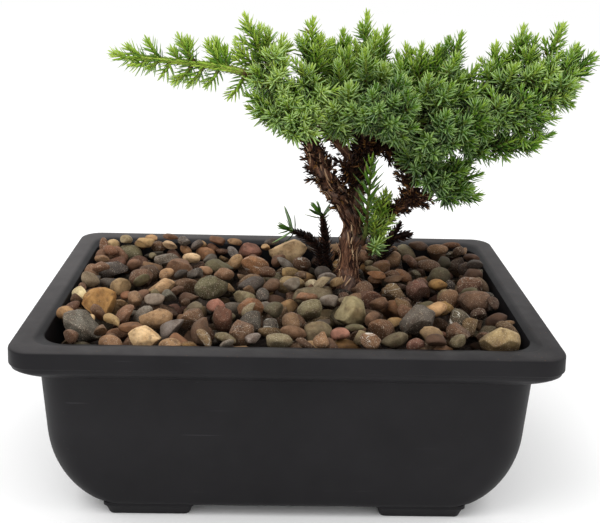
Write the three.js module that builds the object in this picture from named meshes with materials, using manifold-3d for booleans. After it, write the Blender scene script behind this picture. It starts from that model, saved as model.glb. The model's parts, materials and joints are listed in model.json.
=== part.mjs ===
// A young garden-juniper bonsai in a rectangular moulded training pot, top-dressed with river pebbles.
// Millimetres, +Z up, the plant's front towards -Y. The pot is modelled over the ground at its own middle, the
// plant's routes are measured from the middle of the pot at the level of its rim, and the finished group is
// moved so that its bounding box stands centred on the origin.
import * as THREE from "three";
import { mergeVertices } from "three/addons/utils/BufferGeometryUtils.js";
import Module from "manifold-3d";

const wasm = await Module();
wasm.setup();

// ---------------------------------------------------------------- driving dimensions

const GAP = 0.35; // clearance kept between neighbouring pieces

// Pot: one moulding with a wide rim, walls that curve in under each end, and four feet.
const POT_LENGTH = 203; // over the rim, along X
const POT_DEPTH = 152; // over the rim, along Y
const POT_HEIGHT = 76; // ground to the top of the rim
const RIM_BAND = 6.6; // height of the rim's upright outer face
const RIM_COVE = 7.4; // height of the rounded underside that leads back to the wall
const END_OVERHANG = 8; // how far the rim stands out past the wall at each end
const SIDE_OVERHANG = 9.5; // and along each long side
const RIM_FLAT = 7.5; // width of the rim's flat top, from its outer edge
const RIM_EDGE = 0.6; // small chamfer round the rim's outer top edge
const LIP_STEP = 0.9; // drop from the flat top to the sloping lip inside it
const LIP_FALL = 0.8; // how much the lip slopes down to the inside of the wall
const RIM_CORNER = 9; // plan radius of the rim's corners
const WALL_CORNER = 13; // plan radius of the wall's corners
const WALL = 2.4;
const FLOOR = 3;
const END_DRAFT = 1.5; // how much each end leans in between rim and floor
const SIDE_DRAFT = 6; // how much each long side leans in between rim and floor
const END_CURVE_RUN = 21; // quarter ellipse that carries each end wall in under the pot
const END_CURVE_RISE = 30;
const FOOT_HEIGHT = 4.5;
const FOOT_LENGTH = 35;
const FOOT_DEPTH = 15;
const FOOT_TAPER = 1.6; // how much a foot narrows all round on its way down
const DRAIN_RADIUS = 8;
const DRAIN_SPACING = 76; // between the two drain holes, along X

// Drainage mesh: a square of moulded netting over each drain hole.
const NET_SIZE = 27;
const NET_THICKNESS = 1;
const NET_OPENINGS = 4; // openings along each side
const NET_STRAND = 1.6;

// Fill: the soil, the bed of small gravel on it, and the large pebbles that lie on the bed.
const BED_BELOW_RIM = 7.6; // from the rim's top down to the bed's surface
const BED_DEPTH = 7.05;
const PEBBLE_GAP = 0.5; // least gap between two large pebbles, in plan
const SHOOT_LEAN = 1; // room in plan for a stem to lean among the pebbles
const SETTLING_ROUNDS = 200;

// Foliage: each leafy shoot is a brush of needles round a thin stem.
const BRUSH_RADIUS = 5;
const TWIG_RADIUS = 2.6;

// ---------------------------------------------------------------- solids from rings

// A point of the plant, given from the rim's level, as a point over the ground.
const grown = ([x, y, z]) => new THREE.Vector3(x, y, POT_HEIGHT + z);

// A closed geometry through rings of equal point count, with a flat cap on the first and the last.
function loft(rings) {
  const count = rings[0].length;
  const points = rings.flat();
  const caps = [rings[0], rings[rings.length - 1]].map((ring) =>
    ring.reduce((sum, p) => sum.add(p), new THREE.Vector3()).divideScalar(count),
  );
  const last = (rings.length - 1) * count;
  const index = [];
  for (let i = 0; i < count; i++) {
    const j = (i + 1) % count;
    for (let k = 0; k < rings.length - 1; k++) {
      const a = k * count;
      const b = a + count;
      index.push(a + i, a + j, b + j, a + i, b + j, b + i);
    }
    index.push(points.length, j, i);
    index.push(points.length + 1, last + i, last + j);
  }
  return new THREE.BufferGeometry()
    .setFromPoints([...points, ...caps])
    .setIndex(index);
}

// A three.js geometry as a solid that can be joined and cut.
function solidOf(geometry) {
  const bare = geometry.clone();
  bare.deleteAttribute("normal");
  bare.deleteAttribute("uv");
  const merged = mergeVertices(bare, 1e-3);
  return new wasm.Manifold(
    new wasm.Mesh({
      numProp: 3,
      vertProperties: merged.attributes.position.array,
      triVerts: new Uint32Array(merged.index.array),
    }),
  );
}

function geometryOf(solid) {
  const mesh = solid.getMesh();
  return new THREE.BufferGeometry()
    .setAttribute("position", new THREE.BufferAttribute(mesh.vertProperties, 3))
    .setIndex(new THREE.BufferAttribute(mesh.triVerts, 1));
}

const joined = (solids) => solids.reduce((whole, next) => whole.add(next));

// The largest connected piece of a solid: cutting one brush by another can leave loose slivers.
const largest = (solid) =>
  solid.decompose().reduce((a, b) => (b.volume() > a.volume() ? b : a));

// A rounded rectangle at height z, counter-clockwise.
const CORNER_SEGMENTS = 4;
function rectangleRing(halfLength, halfDepth, radius, z) {
  const ring = [];
  for (let corner = 0; corner < 4; corner++) {
    const signX = corner === 0 || corner === 3 ? 1 : -1;
    const signY = corner < 2 ? 1 : -1;
    for (let s = 0; s <= CORNER_SEGMENTS; s++) {
      const angle = ((corner + s / CORNER_SEGMENTS) * Math.PI) / 2;
      ring.push(
        new THREE.Vector3(
          signX * (halfLength - radius) + radius * Math.cos(angle),
          signY * (halfDepth - radius) + radius * Math.sin(angle),
          z,
        ),
      );
    }
  }
  return ring;
}

// A round tube along a smooth curve, its radius running evenly through the values given. The extra makes it
// thicker all round and longer at both ends, which gives the room that it needs among its neighbours.
function tube(curve, radii, extra, sides, steps) {
  const frames = curve.computeFrenetFrames(steps, false);
  const rings = [];
  for (let k = 0; k <= steps; k++) {
    const along = (k / steps) * (radii.length - 1);
    const low = Math.min(Math.floor(along), radii.length - 2);
    const radius = THREE.MathUtils.lerp(radii[low], radii[low + 1], along - low) + extra;
    const centre = curve.getPointAt(k / steps);
    if (k === 0) centre.addScaledVector(frames.tangents[k], -extra);
    if (k === steps) centre.addScaledVector(frames.tangents[k], extra);
    const ring = [];
    for (let i = 0; i < sides; i++) {
      const angle = (i / sides) * 2 * Math.PI;
      ring.push(
        centre
          .clone()
          .addScaledVector(frames.normals[k], radius * Math.cos(angle))
          .addScaledVector(frames.binormals[k], radius * Math.sin(angle)),
      );
    }
    rings.push(ring);
  }
  return loft(rings);
}

// ---------------------------------------------------------------- materials

const finish = (color, roughness) =>
  new THREE.MeshStandardMaterial({ color, roughness, metalness: 0 });

const POT_PLASTIC = finish("#3b3a3c", 0.6);
const NET_PLASTIC = finish("#23231f", 0.7);
const SOIL = finish("#2b2019", 1);
const GRAVEL = finish("#6d5a49", 0.9);
const BARK = finish("#4a2f26", 0.95);
const DEAD_SHOOT = finish("#33241f", 0.95);
const LEAF_BRIGHT = finish("#6fa33a", 0.6);
const LEAF_DEEP = finish("#3f7237", 0.6);
const LEAF_SHADE = finish("#345a30", 0.65);
const STONE = {
  slate: finish("#5c5552", 0.85),
  ochre: finish("#b8894d", 0.85),
  tan: finish("#a68b6c", 0.85),
  cream: finish("#cdb694", 0.85),
  rust: finish("#9a6039", 0.85),
  umber: finish("#7d5c4c", 0.85),
  olive: finish("#78705a", 0.85),
  rose: finish("#a8685a", 0.85),
};

// ---------------------------------------------------------------- pot

const BED_TOP = POT_HEIGHT - BED_BELOW_RIM;
const SOIL_TOP = BED_TOP - BED_DEPTH - GAP;
const FLOOR_UNDER = FOOT_HEIGHT; // height of the pot's underside
const FLOOR_TOP = FLOOR_UNDER + FLOOR;
const WALL_TOP = POT_HEIGHT - RIM_BAND - RIM_COVE; // where the wall meets the rim's underside
const CURVE_TOP = FLOOR_UNDER + END_CURVE_RISE;

// How far the wall lies inside the rim's outer edge at height z: [at the ends, at the long sides].
// The same rule gives the wall's inside, with the wall's thickness and the floor's level put in.
function wallInset(z, thickness, bottom) {
  const drop = (WALL_TOP - z) / (WALL_TOP - FLOOR_UNDER);
  const under = THREE.MathUtils.clamp((CURVE_TOP - z) / (CURVE_TOP - bottom), 0, 1);
  const curve = END_CURVE_RUN * (1 - Math.sqrt(1 - under * under));
  return [
    END_OVERHANG + thickness + END_DRAFT * drop + curve,
    SIDE_OVERHANG + thickness + SIDE_DRAFT * drop,
  ];
}

function potRing(insetEnd, insetSide, radius, z) {
  return rectangleRing(POT_LENGTH / 2 - insetEnd, POT_DEPTH / 2 - insetSide, radius, z);
}

// Heights at which the wall is drawn: close together where it curves in, at both ends of the straight part.
function wallHeights(bottom, top) {
  const steps = 6;
  const heights = [];
  for (let k = 0; k <= steps; k++) {
    heights.push(CURVE_TOP - (CURVE_TOP - bottom) * Math.cos((k / steps) * (Math.PI / 2)));
  }
  return [...heights, top];
}

// The inside of the pot between two heights, less a clearance: what fills the pot is made from it.
function fill(bottom, top, clearance) {
  const rings = wallHeights(FLOOR_TOP, WALL_TOP).map((z) => {
    const [end, side] = wallInset(z, WALL, FLOOR_TOP);
    return potRing(end + clearance, side + clearance, WALL_CORNER - WALL, z + clearance);
  });
  const inner = WALL + clearance;
  rings.push(potRing(END_OVERHANG + inner, SIDE_OVERHANG + inner, WALL_CORNER - WALL, POT_HEIGHT));
  return solidOf(loft(rings)).trimByPlane([0, 0, 1], bottom).trimByPlane([0, 0, -1], -top);
}

function foot(signX, signY) {
  const [insetEnd, insetSide] = wallInset(FLOOR_UNDER, 0, FLOOR_UNDER);
  const outerX = POT_LENGTH / 2 - insetEnd;
  const outerY = POT_DEPTH / 2 - insetSide - 1;
  const top = FLOOR_UNDER + FLOOR / 2;
  const ring = (taper, z) =>
    rectangleRing(FOOT_LENGTH / 2 - taper, FOOT_DEPTH / 2 - taper, 2, z).map((p) =>
      p.add(
        new THREE.Vector3(
          signX * (outerX - FOOT_LENGTH / 2),
          signY * (outerY - FOOT_DEPTH / 2),
          0,
        ),
      ),
    );
  return solidOf(loft([ring(FOOT_TAPER, 0), ring(0, top)]));
}

function drainHole(sign) {
  const bore = new THREE.CylinderGeometry(DRAIN_RADIUS, DRAIN_RADIUS, 4 * FLOOR, 20);
  bore.rotateX(Math.PI / 2);
  bore.translate((sign * DRAIN_SPACING) / 2, 0, FLOOR_UNDER + FLOOR / 2);
  return solidOf(bore);
}

function potGeometry() {
  const rings = [];
  for (const z of wallHeights(FLOOR_UNDER, WALL_TOP)) {
    const [end, side] = wallInset(z, 0, FLOOR_UNDER);
    rings.push(potRing(end, side, WALL_CORNER, z));
  }
  // The rim's underside swells out from the wall: steep near the band, flat near the wall.
  const coveSteps = 4;
  for (let k = coveSteps - 1; k >= 0; k--) {
    const share = k / coveSteps;
    const z = POT_HEIGHT - RIM_BAND - RIM_COVE * share ** 0.6;
    const radius = THREE.MathUtils.lerp(RIM_CORNER, WALL_CORNER, share);
    rings.push(potRing(END_OVERHANG * share, SIDE_OVERHANG * share, radius, z));
  }
  const lipZ = POT_HEIGHT - LIP_STEP;
  rings.push(potRing(0, 0, RIM_CORNER, POT_HEIGHT - RIM_EDGE));
  rings.push(potRing(RIM_EDGE, RIM_EDGE, RIM_CORNER - RIM_EDGE, POT_HEIGHT));
  rings.push(potRing(RIM_FLAT, RIM_FLAT, RIM_CORNER - RIM_EDGE, POT_HEIGHT));
  rings.push(potRing(RIM_FLAT + RIM_EDGE, RIM_FLAT + RIM_EDGE, RIM_CORNER, lipZ));
  rings.push(potRing(END_OVERHANG + WALL, SIDE_OVERHANG + WALL, WALL_CORNER - WALL, lipZ - LIP_FALL));
  for (const z of wallHeights(FLOOR_TOP, WALL_TOP).reverse()) {
    const [end, side] = wallInset(z, WALL, FLOOR_TOP);
    rings.push(potRing(end, side, WALL_CORNER - WALL, z));
  }
  const feet = [foot(1, 1), foot(-1, 1), foot(-1, -1), foot(1, -1)];
  const shell = joined([solidOf(loft(rings)), ...feet]);
  return geometryOf(shell.subtract(drainHole(1)).subtract(drainHole(-1)));
}

// ---------------------------------------------------------------- drainage mesh

const NET_Z = FLOOR_TOP + GAP + NET_THICKNESS / 2; // height of the nets' middle

function netGeometry() {
  const square = new THREE.BoxGeometry(NET_SIZE, NET_SIZE, NET_THICKNESS);
  const pitch = (NET_SIZE - NET_STRAND) / NET_OPENINGS;
  const opening = new THREE.BoxGeometry(pitch - NET_STRAND, pitch - NET_STRAND, 4 * NET_THICKNESS);
  let net = solidOf(square);
  for (let i = 0; i < NET_OPENINGS; i++) {
    for (let j = 0; j < NET_OPENINGS; j++) {
      const x = (i - (NET_OPENINGS - 1) / 2) * pitch;
      const y = (j - (NET_OPENINGS - 1) / 2) * pitch;
      net = net.subtract(solidOf(opening).translate([x, y, 0]));
    }
  }
  return geometryOf(net);
}

// The room that a net takes in the soil above it.
function netRoom(sign) {
  const side = NET_SIZE + 2 * GAP;
  const height = NET_THICKNESS + 2 * GAP;
  const room = new THREE.BoxGeometry(side, side, height);
  room.translate((sign * DRAIN_SPACING) / 2, 0, FLOOR_TOP + height / 2);
  return solidOf(room);
}

// ---------------------------------------------------------------- wood

// The trunk and the limbs that grow from it: [route, radii]. They are one grown piece.
const TRUNK = [
  [[27, 19, -30], [27, 19, -12], [27, 19, -4], [27, 19, 8], [28, 19, 19], [29, 19, 30]],
  [7.4, 6.4, 5.6, 4.5, 4.3, 4.4],
];
const LIMBS = [
  // upright leader
  [[[29, 19, 22], [29, 19, 32], [30, 20, 45], [32, 21, 55], [35, 22, 66]], [3.9, 3.4, 3.0, 3.2, 2.4]],
  // left limb, which bends out over the pot
  [
    [[29, 19, 22], [23, 15, 34], [17, 10, 42], [11, 6, 53], [8, 4, 62], [3, 2, 72], [-5, 0, 82]],
    [4.0, 3.9, 3.6, 3.3, 2.9, 2.4, 1.9],
  ],
  // low right limb
  [[[28, 19, 14], [37, 17, 23], [45, 14, 30], [53, 10, 36], [60, 8, 39]], [2.8, 2.3, 2.0, 1.8, 1.4]],
  // its branch that turns up
  [[[52, 10, 35], [51, 9, 43], [49, 9, 52]], [1.5, 1.3, 1.1]],
  // upper right limb
  [
    [[33, 21, 54], [43, 18, 60], [56, 13, 68], [72, 8, 74], [88, 5, 79], [100, 3, 83]],
    [2.6, 2.4, 2.1, 1.8, 1.5, 1.2],
  ],
  // two limbs at the back
  [[[34, 21, 60], [38, 32, 66], [44, 42, 71]], [2.2, 1.7, 1.3]],
  [[[30, 20, 48], [20, 29, 58], [9, 36, 68]], [2.2, 1.7, 1.3]],
];

// A stem along a route of the plant.
function stem([route, radii], extra, sides, steps) {
  return solidOf(tube(new THREE.CatmullRomCurve3(route.map(grown)), radii, extra, sides, steps));
}

function woodSolid(extra) {
  return joined([stem(TRUNK, extra, 9, 7), ...LIMBS.map((limb) => stem(limb, extra, 6, 5))]);
}

// ---------------------------------------------------------------- leafy shoots

// Each spray is a twig and the shoots that leave it: [how far along the twig, the shoot's tip].
const SPRAYS = {
  long_branch: {
    twig: [[-6, 0, 83], [-20, -2, 90], [-35, -3, 93], [-52, -5, 96], [-66, -6, 96]],
    shoots: [
      [0.97, [-76, -6, 98]], [0.85, [-70, -10, 90]], [0.8, [-58, -3, 107]], [0.68, [-59, -11, 89]],
      [0.6, [-45, -1, 109]], [0.4, [-34, 2, 107]], [0.5, [-49, -10, 84]], [0.28, [-36, -10, 83]],
    ],
  },
  upper_left: {
    twig: [[-5, 1, 82], [-8, 2, 88], [-9, 3, 94]],
    shoots: [
      [0.8, [-20, 4, 113]], [0.95, [-11, 8, 109]], [0.7, [-3, 7, 105]], [0.4, [-8, -9, 102]],
      [0.2, [-6, -14, 92]], [0.6, [-25, 0, 101]], [0.3, [-17, -9, 93]],
    ],
  },
  left_shelf: {
    twig: [[4, 2, 69], [0, -1, 72], [-6, -3, 74]],
    shoots: [
      [0.9, [-19, -2, 76]], [0.6, [-9, -8, 67]], [0.8, [-16, -8, 83]], [0.3, [-2, -15, 65]],
      [0.4, [-1, -17, 75]], [0.1, [6, -17, 70]], [0.7, [-10, -14, 76]], [0.5, [-12, 6, 71]],
    ],
  },
  upright_left: {
    twig: [[5, 3, 75], [7, 4, 80], [7, 5, 86]],
    shoots: [
      [0.95, [8, 8, 114]], [0.5, [6, -17, 79]], [0.7, [13, -14, 85]], [0.4, [-2, -6, 88]],
      [0.8, [14, 10, 99]], [0.6, [3, -6, 95]],
    ],
  },
  crown_left: {
    twig: [[27, 17, 64], [22, 13, 72], [20, 13, 81]],
    shoots: [
      [0.95, [16, 17, 105]], [0.85, [21, 20, 109]], [0.6, [18, -2, 96]], [0.4, [22, -12, 88]],
      [0.2, [13, -10, 73]], [0.5, [11, 8, 88]], [0.7, [23, 5, 101]],
    ],
  },
  crown_peak: {
    twig: [[35, 21, 67], [33, 20, 75], [32, 19, 84]],
    shoots: [
      [0.98, [30, 24, 116]], [0.8, [35, 24, 111]], [0.6, [40, 23, 108]], [0.5, [28, -8, 101]],
      [0.4, [37, 1, 95]], [0.7, [25, 13, 103]], [0.9, [34, 12, 107]],
    ],
  },
  crown_front: {
    twig: [[37, 18, 59], [36, 8, 63], [37, -2, 68]],
    shoots: [
      [0.6, [30, -20, 86]], [0.8, [40, -21, 84]], [0.9, [48, -22, 81]], [0.5, [40, -25, 75]],
      [0.3, [27, -17, 73]], [0.7, [33, -24, 79]], [0.4, [45, -15, 66]], [0.95, [43, -11, 92]],
    ],
  },
  crown_right: {
    twig: [[46, 16, 66], [53, 11, 73], [62, 8, 79]],
    shoots: [
      [0.2, [47, 16, 102]], [0.4, [53, 11, 103]], [0.7, [60, 12, 104]], [0.95, [69, 10, 110]],
      [0.5, [54, -9, 92]], [0.7, [63, -12, 89]], [0.98, [76, 3, 95]], [0.3, [43, 3, 96]],
      [0.85, [66, 0, 100]],
    ],
  },
  front_right: {
    twig: [[52, 11, 64], [58, 4, 66], [65, -2, 70]],
    shoots: [
      [0.5, [60, -21, 79]], [0.8, [70, -17, 76]], [0.95, [77, -13, 82]], [0.3, [54, -19, 68]],
      [0.6, [66, -15, 65]], [0.9, [82, -9, 71]], [0.1, [52, -10, 59]],
    ],
  },
  right_upper: {
    twig: [[82, 9, 80], [90, 8, 85], [99, 6, 89]],
    shoots: [
      [0.1, [82, 9, 107]], [0.5, [93, 10, 113]], [0.8, [99, 8, 107]], [0.97, [109, 5, 114]],
      [0.3, [87, -9, 96]], [0.6, [97, -11, 96]], [0.9, [106, -6, 101]],
    ],
  },
  right_end: {
    twig: [[97, 1, 81], [103, 0, 85], [109, -1, 89]],
    shoots: [
      [0.97, [124, 1, 102]], [0.8, [119, -2, 95]], [0.5, [117, -6, 88]], [0.3, [114, -2, 80]],
      [0.9, [115, -4, 105]], [0.6, [110, -15, 91]], [0.7, [118, 8, 92]],
    ],
  },
  right_mid: {
    twig: [[76, 5, 72], [84, 0, 74], [93, -3, 76]],
    shoots: [
      [0.4, [91, -14, 81]], [0.8, [101, -13, 78]], [0.95, [108, -7, 75]], [0.2, [82, -15, 84]],
      [0.6, [96, -9, 69]], [0.3, [86, -12, 72]],
    ],
  },
  right_low: {
    twig: [[66, 6, 61], [74, 1, 62], [84, -3, 64]],
    shoots: [[0.95, [110, -4, 69]], [0.5, [92, -9, 67]], [0.6, [91, 6, 64]], [0.3, [80, -9, 61]]],
  },
  lower_right: {
    twig: [[52, 9, 53], [57, 7, 48], [63, 7, 43]],
    shoots: [
      [0.97, [81, 0, 41]], [0.8, [81, 2, 50]], [0.4, [77, 0, 58]], [0.7, [64, -8, 46]],
      [0.4, [61, -6, 57]], [0.95, [69, -7, 39]], [0.1, [66, 4, 59]], [0.2, [50, -8, 54]],
      [0.5, [70, 12, 52]],
    ],
  },
  trunk_sprig_tall: {
    twig: [[32, 10, 16], [33, 8, 22], [33, 7, 27]],
    shoots: [[0.9, [34, 6, 55]]],
  },
  trunk_sprig_short: {
    twig: [[35, 12, 10], [37, 11, 16], [38, 11, 22]],
    shoots: [[0.95, [41, 12, 41]], [0.7, [44, 13, 30]], [0.1, [40, 5, 20]]],
  },
};

// The far side of the crown repeats the near side through a plane along the limbs, staggered in X and Z.
const FAR_SIDE = [
  { name: "back_left", plane: 16, shift: [2, 3, -3], from: ["left_shelf", "crown_left"] },
  { name: "back_centre", plane: 17, shift: [3, 5, -2], from: ["crown_front"] },
  { name: "back_right", plane: 12, shift: [-4, 3, -3], from: ["crown_right", "front_right"] },
  { name: "back_low", plane: 9, shift: [3, 5, -2], from: ["right_mid"] },
];

function farSpray({ plane, shift, from }) {
  const across = ([x, y, z]) => [x + shift[0], 2 * plane - y + shift[1], z + shift[2]];
  return from.map((name) => ({
    twig: SPRAYS[name].twig.map(across),
    shoots: SPRAYS[name].shoots.map(([along, tip]) => [along, across(tip)]),
  }));
}

// A shoot's curve: it leaves the twig low and rises to its tip.
const SHOOT_SAG = 0.1;
function shootCurve(start, tip) {
  const middle = start.clone().lerp(tip, 0.5);
  middle.z -= SHOOT_SAG * start.distanceTo(tip);
  return new THREE.CatmullRomCurve3([start, middle, tip]);
}

function spraySolid({ twig, shoots }, extra) {
  const curve = new THREE.CatmullRomCurve3(twig.map(grown));
  const brush = [0.4, 1, 0.5].map((share) => BRUSH_RADIUS * share);
  const solids = shoots.map(([along, tip]) =>
    solidOf(tube(shootCurve(curve.getPointAt(along), grown(tip)), brush, extra, 4, 2)),
  );
  return joined([solidOf(tube(curve, [TWIG_RADIUS, TWIG_RADIUS], extra, 4, 2)), ...solids]);
}

// Bare or nearly bare shoots that come up through the pebbles behind the trunk: [route, radii].
const LOW_SHOOTS = {
  low_shoot_left: [[[15, 36, -10], [11, 35, 4], [3, 33, 14], [-8, 31, 19]], [1.2, 1.6, 2.2, 2.6]],
  low_shoot_middle: [[[20, 37, -10], [18, 36, 4], [17, 36, 18], [14, 36, 30]], [1.4, 1.8, 2.4, 2.4]],
  low_shoot_right: [[[43, 48, -10], [47, 48, 2], [50, 48, 10], [54, 48, 19]], [1.4, 1.9, 2.2, 1.6]],
};

const lowShootSolid = (name, extra) => stem(LOW_SHOOTS[name], extra, 6, 6);

// ---------------------------------------------------------------- pebbles

// The large pebbles on the gravel: [stone, across, back, half length, half width, half height, turn, boxiness].
// Across and back run from -1 to 1 over the room that the pot's walls leave the pebble, turn is in degrees
// about the vertical, and boxiness 0 is an ellipsoid and 1 nearly a block.
const PEBBLES = [
  ["slate", -0.974, -0.852, 8.6, 6.6, 6.0, -4, 0.8],
  ["ochre", -0.927, -0.382, 8.8, 6.4, 6.0, -18, 0.5],
  ["tan", -0.832, 0.017, 5.4, 4.6, 4.4, 10, 0.1],
  ["slate", -0.971, 0.488, 8.4, 3.9, 3.9, 34, 0.2],
  ["umber", -0.759, 0.262, 6.4, 4.6, 4.2, -12, 0.2],
  ["umber", -0.586, 0.495, 7.2, 5.0, 4.6, 8, 0.3],
  ["cream", -0.642, 0.052, 6.6, 4.6, 4.2, 24, 0.2],
  ["olive", -0.399, 0.018, 8.0, 6.6, 5.6, 38, 0.2],
  ["olive", -0.385, 0.552, 7.6, 4.8, 4.2, 0, 0.2],
  ["rose", -0.227, 1.004, 7.0, 4.6, 4.4, -8, 0.3],
  ["rust", -0.179, 0.597, 6.8, 5.2, 4.8, -14, 0.3],
  ["tan", -0.636, -0.603, 7.4, 5.0, 4.2, -5, 0.4],
  ["cream", -0.636, -0.958, 7.4, 5.2, 4.6, -6, 0.3],
  ["umber", -0.434, -0.600, 5.4, 5.0, 4.6, 20, 0.5],
  ["rust", -0.292, -0.596, 5.0, 4.6, 5.4, 30, 0.3],
  ["umber", -0.210, -0.834, 5.0, 4.8, 5.0, 0, 0.5],
  ["rust", -0.189, -0.348, 6.2, 4.6, 4.2, -10, 0.2],
  ["cream", 0.012, 0.982, 9.8, 6.4, 6.0, -12, 0.5],
  ["olive", 0.135, -0.073, 9.2, 4.4, 4.0, -6, 0.4],
  ["cream", 0.012, 0.175, 6.6, 4.4, 4.0, 4, 0.2],
  ["olive", 0.287, -0.511, 7.0, 6.4, 6.4, 24, 0.8],
  ["rust", 0.402, -0.139, 6.2, 4.8, 4.2, -4, 0.2],
  ["rust", 0.423, -0.739, 5.6, 4.8, 4.6, 34, 0.4],
  ["slate", 0.615, -0.679, 7.8, 6.8, 6.4, -8, 0.8],
  ["ochre", 0.737, -0.315, 6.6, 4.8, 4.2, -8, 0.3],
  ["rose", 0.673, 0.052, 6.0, 5.6, 5.4, 0, 0.4],
  ["olive", 0.800, 0.362, 5.8, 4.8, 5.0, 0, 0.2],
  ["umber", 0.944, 0.139, 6.0, 5.4, 4.8, 8, 0.8],
  ["umber", 0.959, -0.217, 8.4, 5.6, 5.0, -24, 0.3],
  ["umber", 0.773, -0.788, 5.4, 4.8, 4.6, 0, 0.2],
  ["cream", 0.967, -0.969, 8.0, 6.2, 5.4, -8, 0.6],
];

function pebbleGeometry(halfLength, halfWidth, halfHeight, boxiness) {
  const geometry = new THREE.IcosahedronGeometry(1, 1);
  const position = geometry.attributes.position;
  const power = 1 - 0.45 * boxiness;
  const squared = (value) => Math.sign(value) * Math.abs(value) ** power;
  for (let i = 0; i < position.count; i++) {
    const point = new THREE.Vector3().fromBufferAttribute(position, i);
    const swollen = new THREE.Vector3(squared(point.x), squared(point.y), squared(point.z));
    swollen.lerp(point, 0.5).clamp(new THREE.Vector3(-1, -1, -1), new THREE.Vector3(1, 1, 1));
    position.setXYZ(i, swollen.x, swollen.y, swollen.z);
  }
  return geometry.scale(halfLength, halfWidth, halfHeight);
}

// Where each pebble lies, with its reach in plan: its own spot, or as near to it as its neighbours allow.
// Two that come too close are pushed apart, a stem pushes a pebble away, and the walls keep all inside.
function pebbleSpots() {
  const room = [POT_LENGTH / 2 - END_OVERHANG - WALL - GAP, POT_DEPTH / 2 - SIDE_OVERHANG - WALL - GAP];
  const spots = PEBBLES.map(([, across, back, halfLength, halfWidth]) => {
    const reach = Math.max(halfLength, halfWidth);
    return { x: across * (room[0] - reach), y: back * (room[1] - reach), reach };
  });
  const stems = [TRUNK, ...Object.values(LOW_SHOOTS)].map(([route, radii]) => {
    const [x, y] = route[0];
    return { x, y, reach: Math.max(...radii) + SHOOT_LEAN };
  });
  for (let round = 0; round < SETTLING_ROUNDS; round++) {
    spots.forEach((spot, i) => {
      for (const other of [...spots.slice(i + 1), ...stems]) {
        const away = new THREE.Vector2(spot.x - other.x, spot.y - other.y);
        const short = spot.reach + other.reach + PEBBLE_GAP - away.length();
        if (short > 0) {
          const fixed = stems.includes(other);
          away.setLength(fixed ? short : short / 2);
          spot.x += away.x;
          spot.y += away.y;
          other.x -= fixed ? 0 : away.x;
          other.y -= fixed ? 0 : away.y;
        }
      }
      spot.x = THREE.MathUtils.clamp(spot.x, spot.reach - room[0], room[0] - spot.reach);
      spot.y = THREE.MathUtils.clamp(spot.y, spot.reach - room[1], room[1] - spot.reach);
    });
  }
  return spots;
}

// ---------------------------------------------------------------- assembly

const plant = new THREE.Group();

function place(name, geometry, material, position = [0, 0, 0], turn = 0) {
  const mesh = new THREE.Mesh(geometry, material);
  mesh.name = name;
  mesh.position.set(...position);
  mesh.rotation.z = THREE.MathUtils.degToRad(turn);
  plant.add(mesh);
}

place("pot", potGeometry(), POT_PLASTIC);
place("drainage_mesh_left", netGeometry(), NET_PLASTIC, [-DRAIN_SPACING / 2, 0, NET_Z]);
place("drainage_mesh_right", netGeometry(), NET_PLASTIC, [DRAIN_SPACING / 2, 0, NET_Z]);

// Soil and gravel make room for the nets, the trunk and the low shoots.
const woodRoom = woodSolid(GAP);
const lowShootRoom = joined(Object.keys(LOW_SHOOTS).map((name) => lowShootSolid(name, GAP)));
const soil = fill(FLOOR_TOP + GAP, SOIL_TOP, GAP).subtract(netRoom(1)).subtract(netRoom(-1));
const bed = fill(SOIL_TOP + GAP, BED_TOP, GAP);
place("soil", geometryOf(soil.subtract(woodRoom)), SOIL);
place("gravel_bed", geometryOf(bed.subtract(woodRoom).subtract(lowShootRoom)), GRAVEL);
place("trunk_and_limbs", geometryOf(woodSolid(0)), BARK);

// Each spray gives way to the wood and to the sprays before it, so that no two share any space.
let taken = woodRoom;
const sprays = Object.entries(SPRAYS).map(([name, spray]) => [name, [spray]]);
const farSprays = FAR_SIDE.map((side) => [side.name, farSpray(side)]);
const LEAF = {
  long_branch: LEAF_BRIGHT, upper_left: LEAF_BRIGHT, upright_left: LEAF_BRIGHT, crown_left: LEAF_BRIGHT,
  crown_peak: LEAF_BRIGHT, crown_right: LEAF_BRIGHT, right_upper: LEAF_BRIGHT, right_end: LEAF_BRIGHT,
  back_left: LEAF_SHADE, back_centre: LEAF_SHADE, back_right: LEAF_SHADE, back_low: LEAF_SHADE,
};
for (const [name, parts] of [...sprays, ...farSprays]) {
  const brush = joined(parts.map((spray) => spraySolid(spray, 0)));
  place(`foliage_${name}`, geometryOf(largest(brush.subtract(taken))), LEAF[name] ?? LEAF_DEEP);
  taken = joined([taken, ...parts.map((spray) => spraySolid(spray, GAP))]);
}
for (const name of Object.keys(LOW_SHOOTS)) {
  place(name, geometryOf(largest(lowShootSolid(name, 0).subtract(taken))), DEAD_SHOOT);
}

const spots = pebbleSpots();
PEBBLES.forEach(([stone, , , halfLength, halfWidth, halfHeight, turn, boxiness], i) => {
  const name = `pebble_${String(i + 1).padStart(2, "0")}`;
  const geometry = pebbleGeometry(halfLength, halfWidth, halfHeight, boxiness);
  const { x, y } = spots[i];
  place(name, geometry, STONE[stone], [x, y, BED_TOP + GAP + halfHeight], turn);
});

// Stand the whole plant on the origin: its bounding box centred in X and Y, its feet at Z = 0.
const bounds = new THREE.Box3().setFromObject(plant, true);
const middle = bounds.getCenter(new THREE.Vector3());
plant.position.set(-middle.x, -middle.y, -bounds.min.z);

export default plant;
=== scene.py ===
# A young garden-juniper bonsai in a charcoal training pot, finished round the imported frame.
# Sizes are in millimetres and multiplied by MM where they become metres. Places on the plant are measured
# from the middle of the pot at the level of its rim: X to the right, Y to the back, Z up.
import json
import math

import bmesh
import bpy
import numpy as np
from mathutils import Euler, Matrix, Vector, noise
from mathutils.kdtree import KDTree

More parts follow.
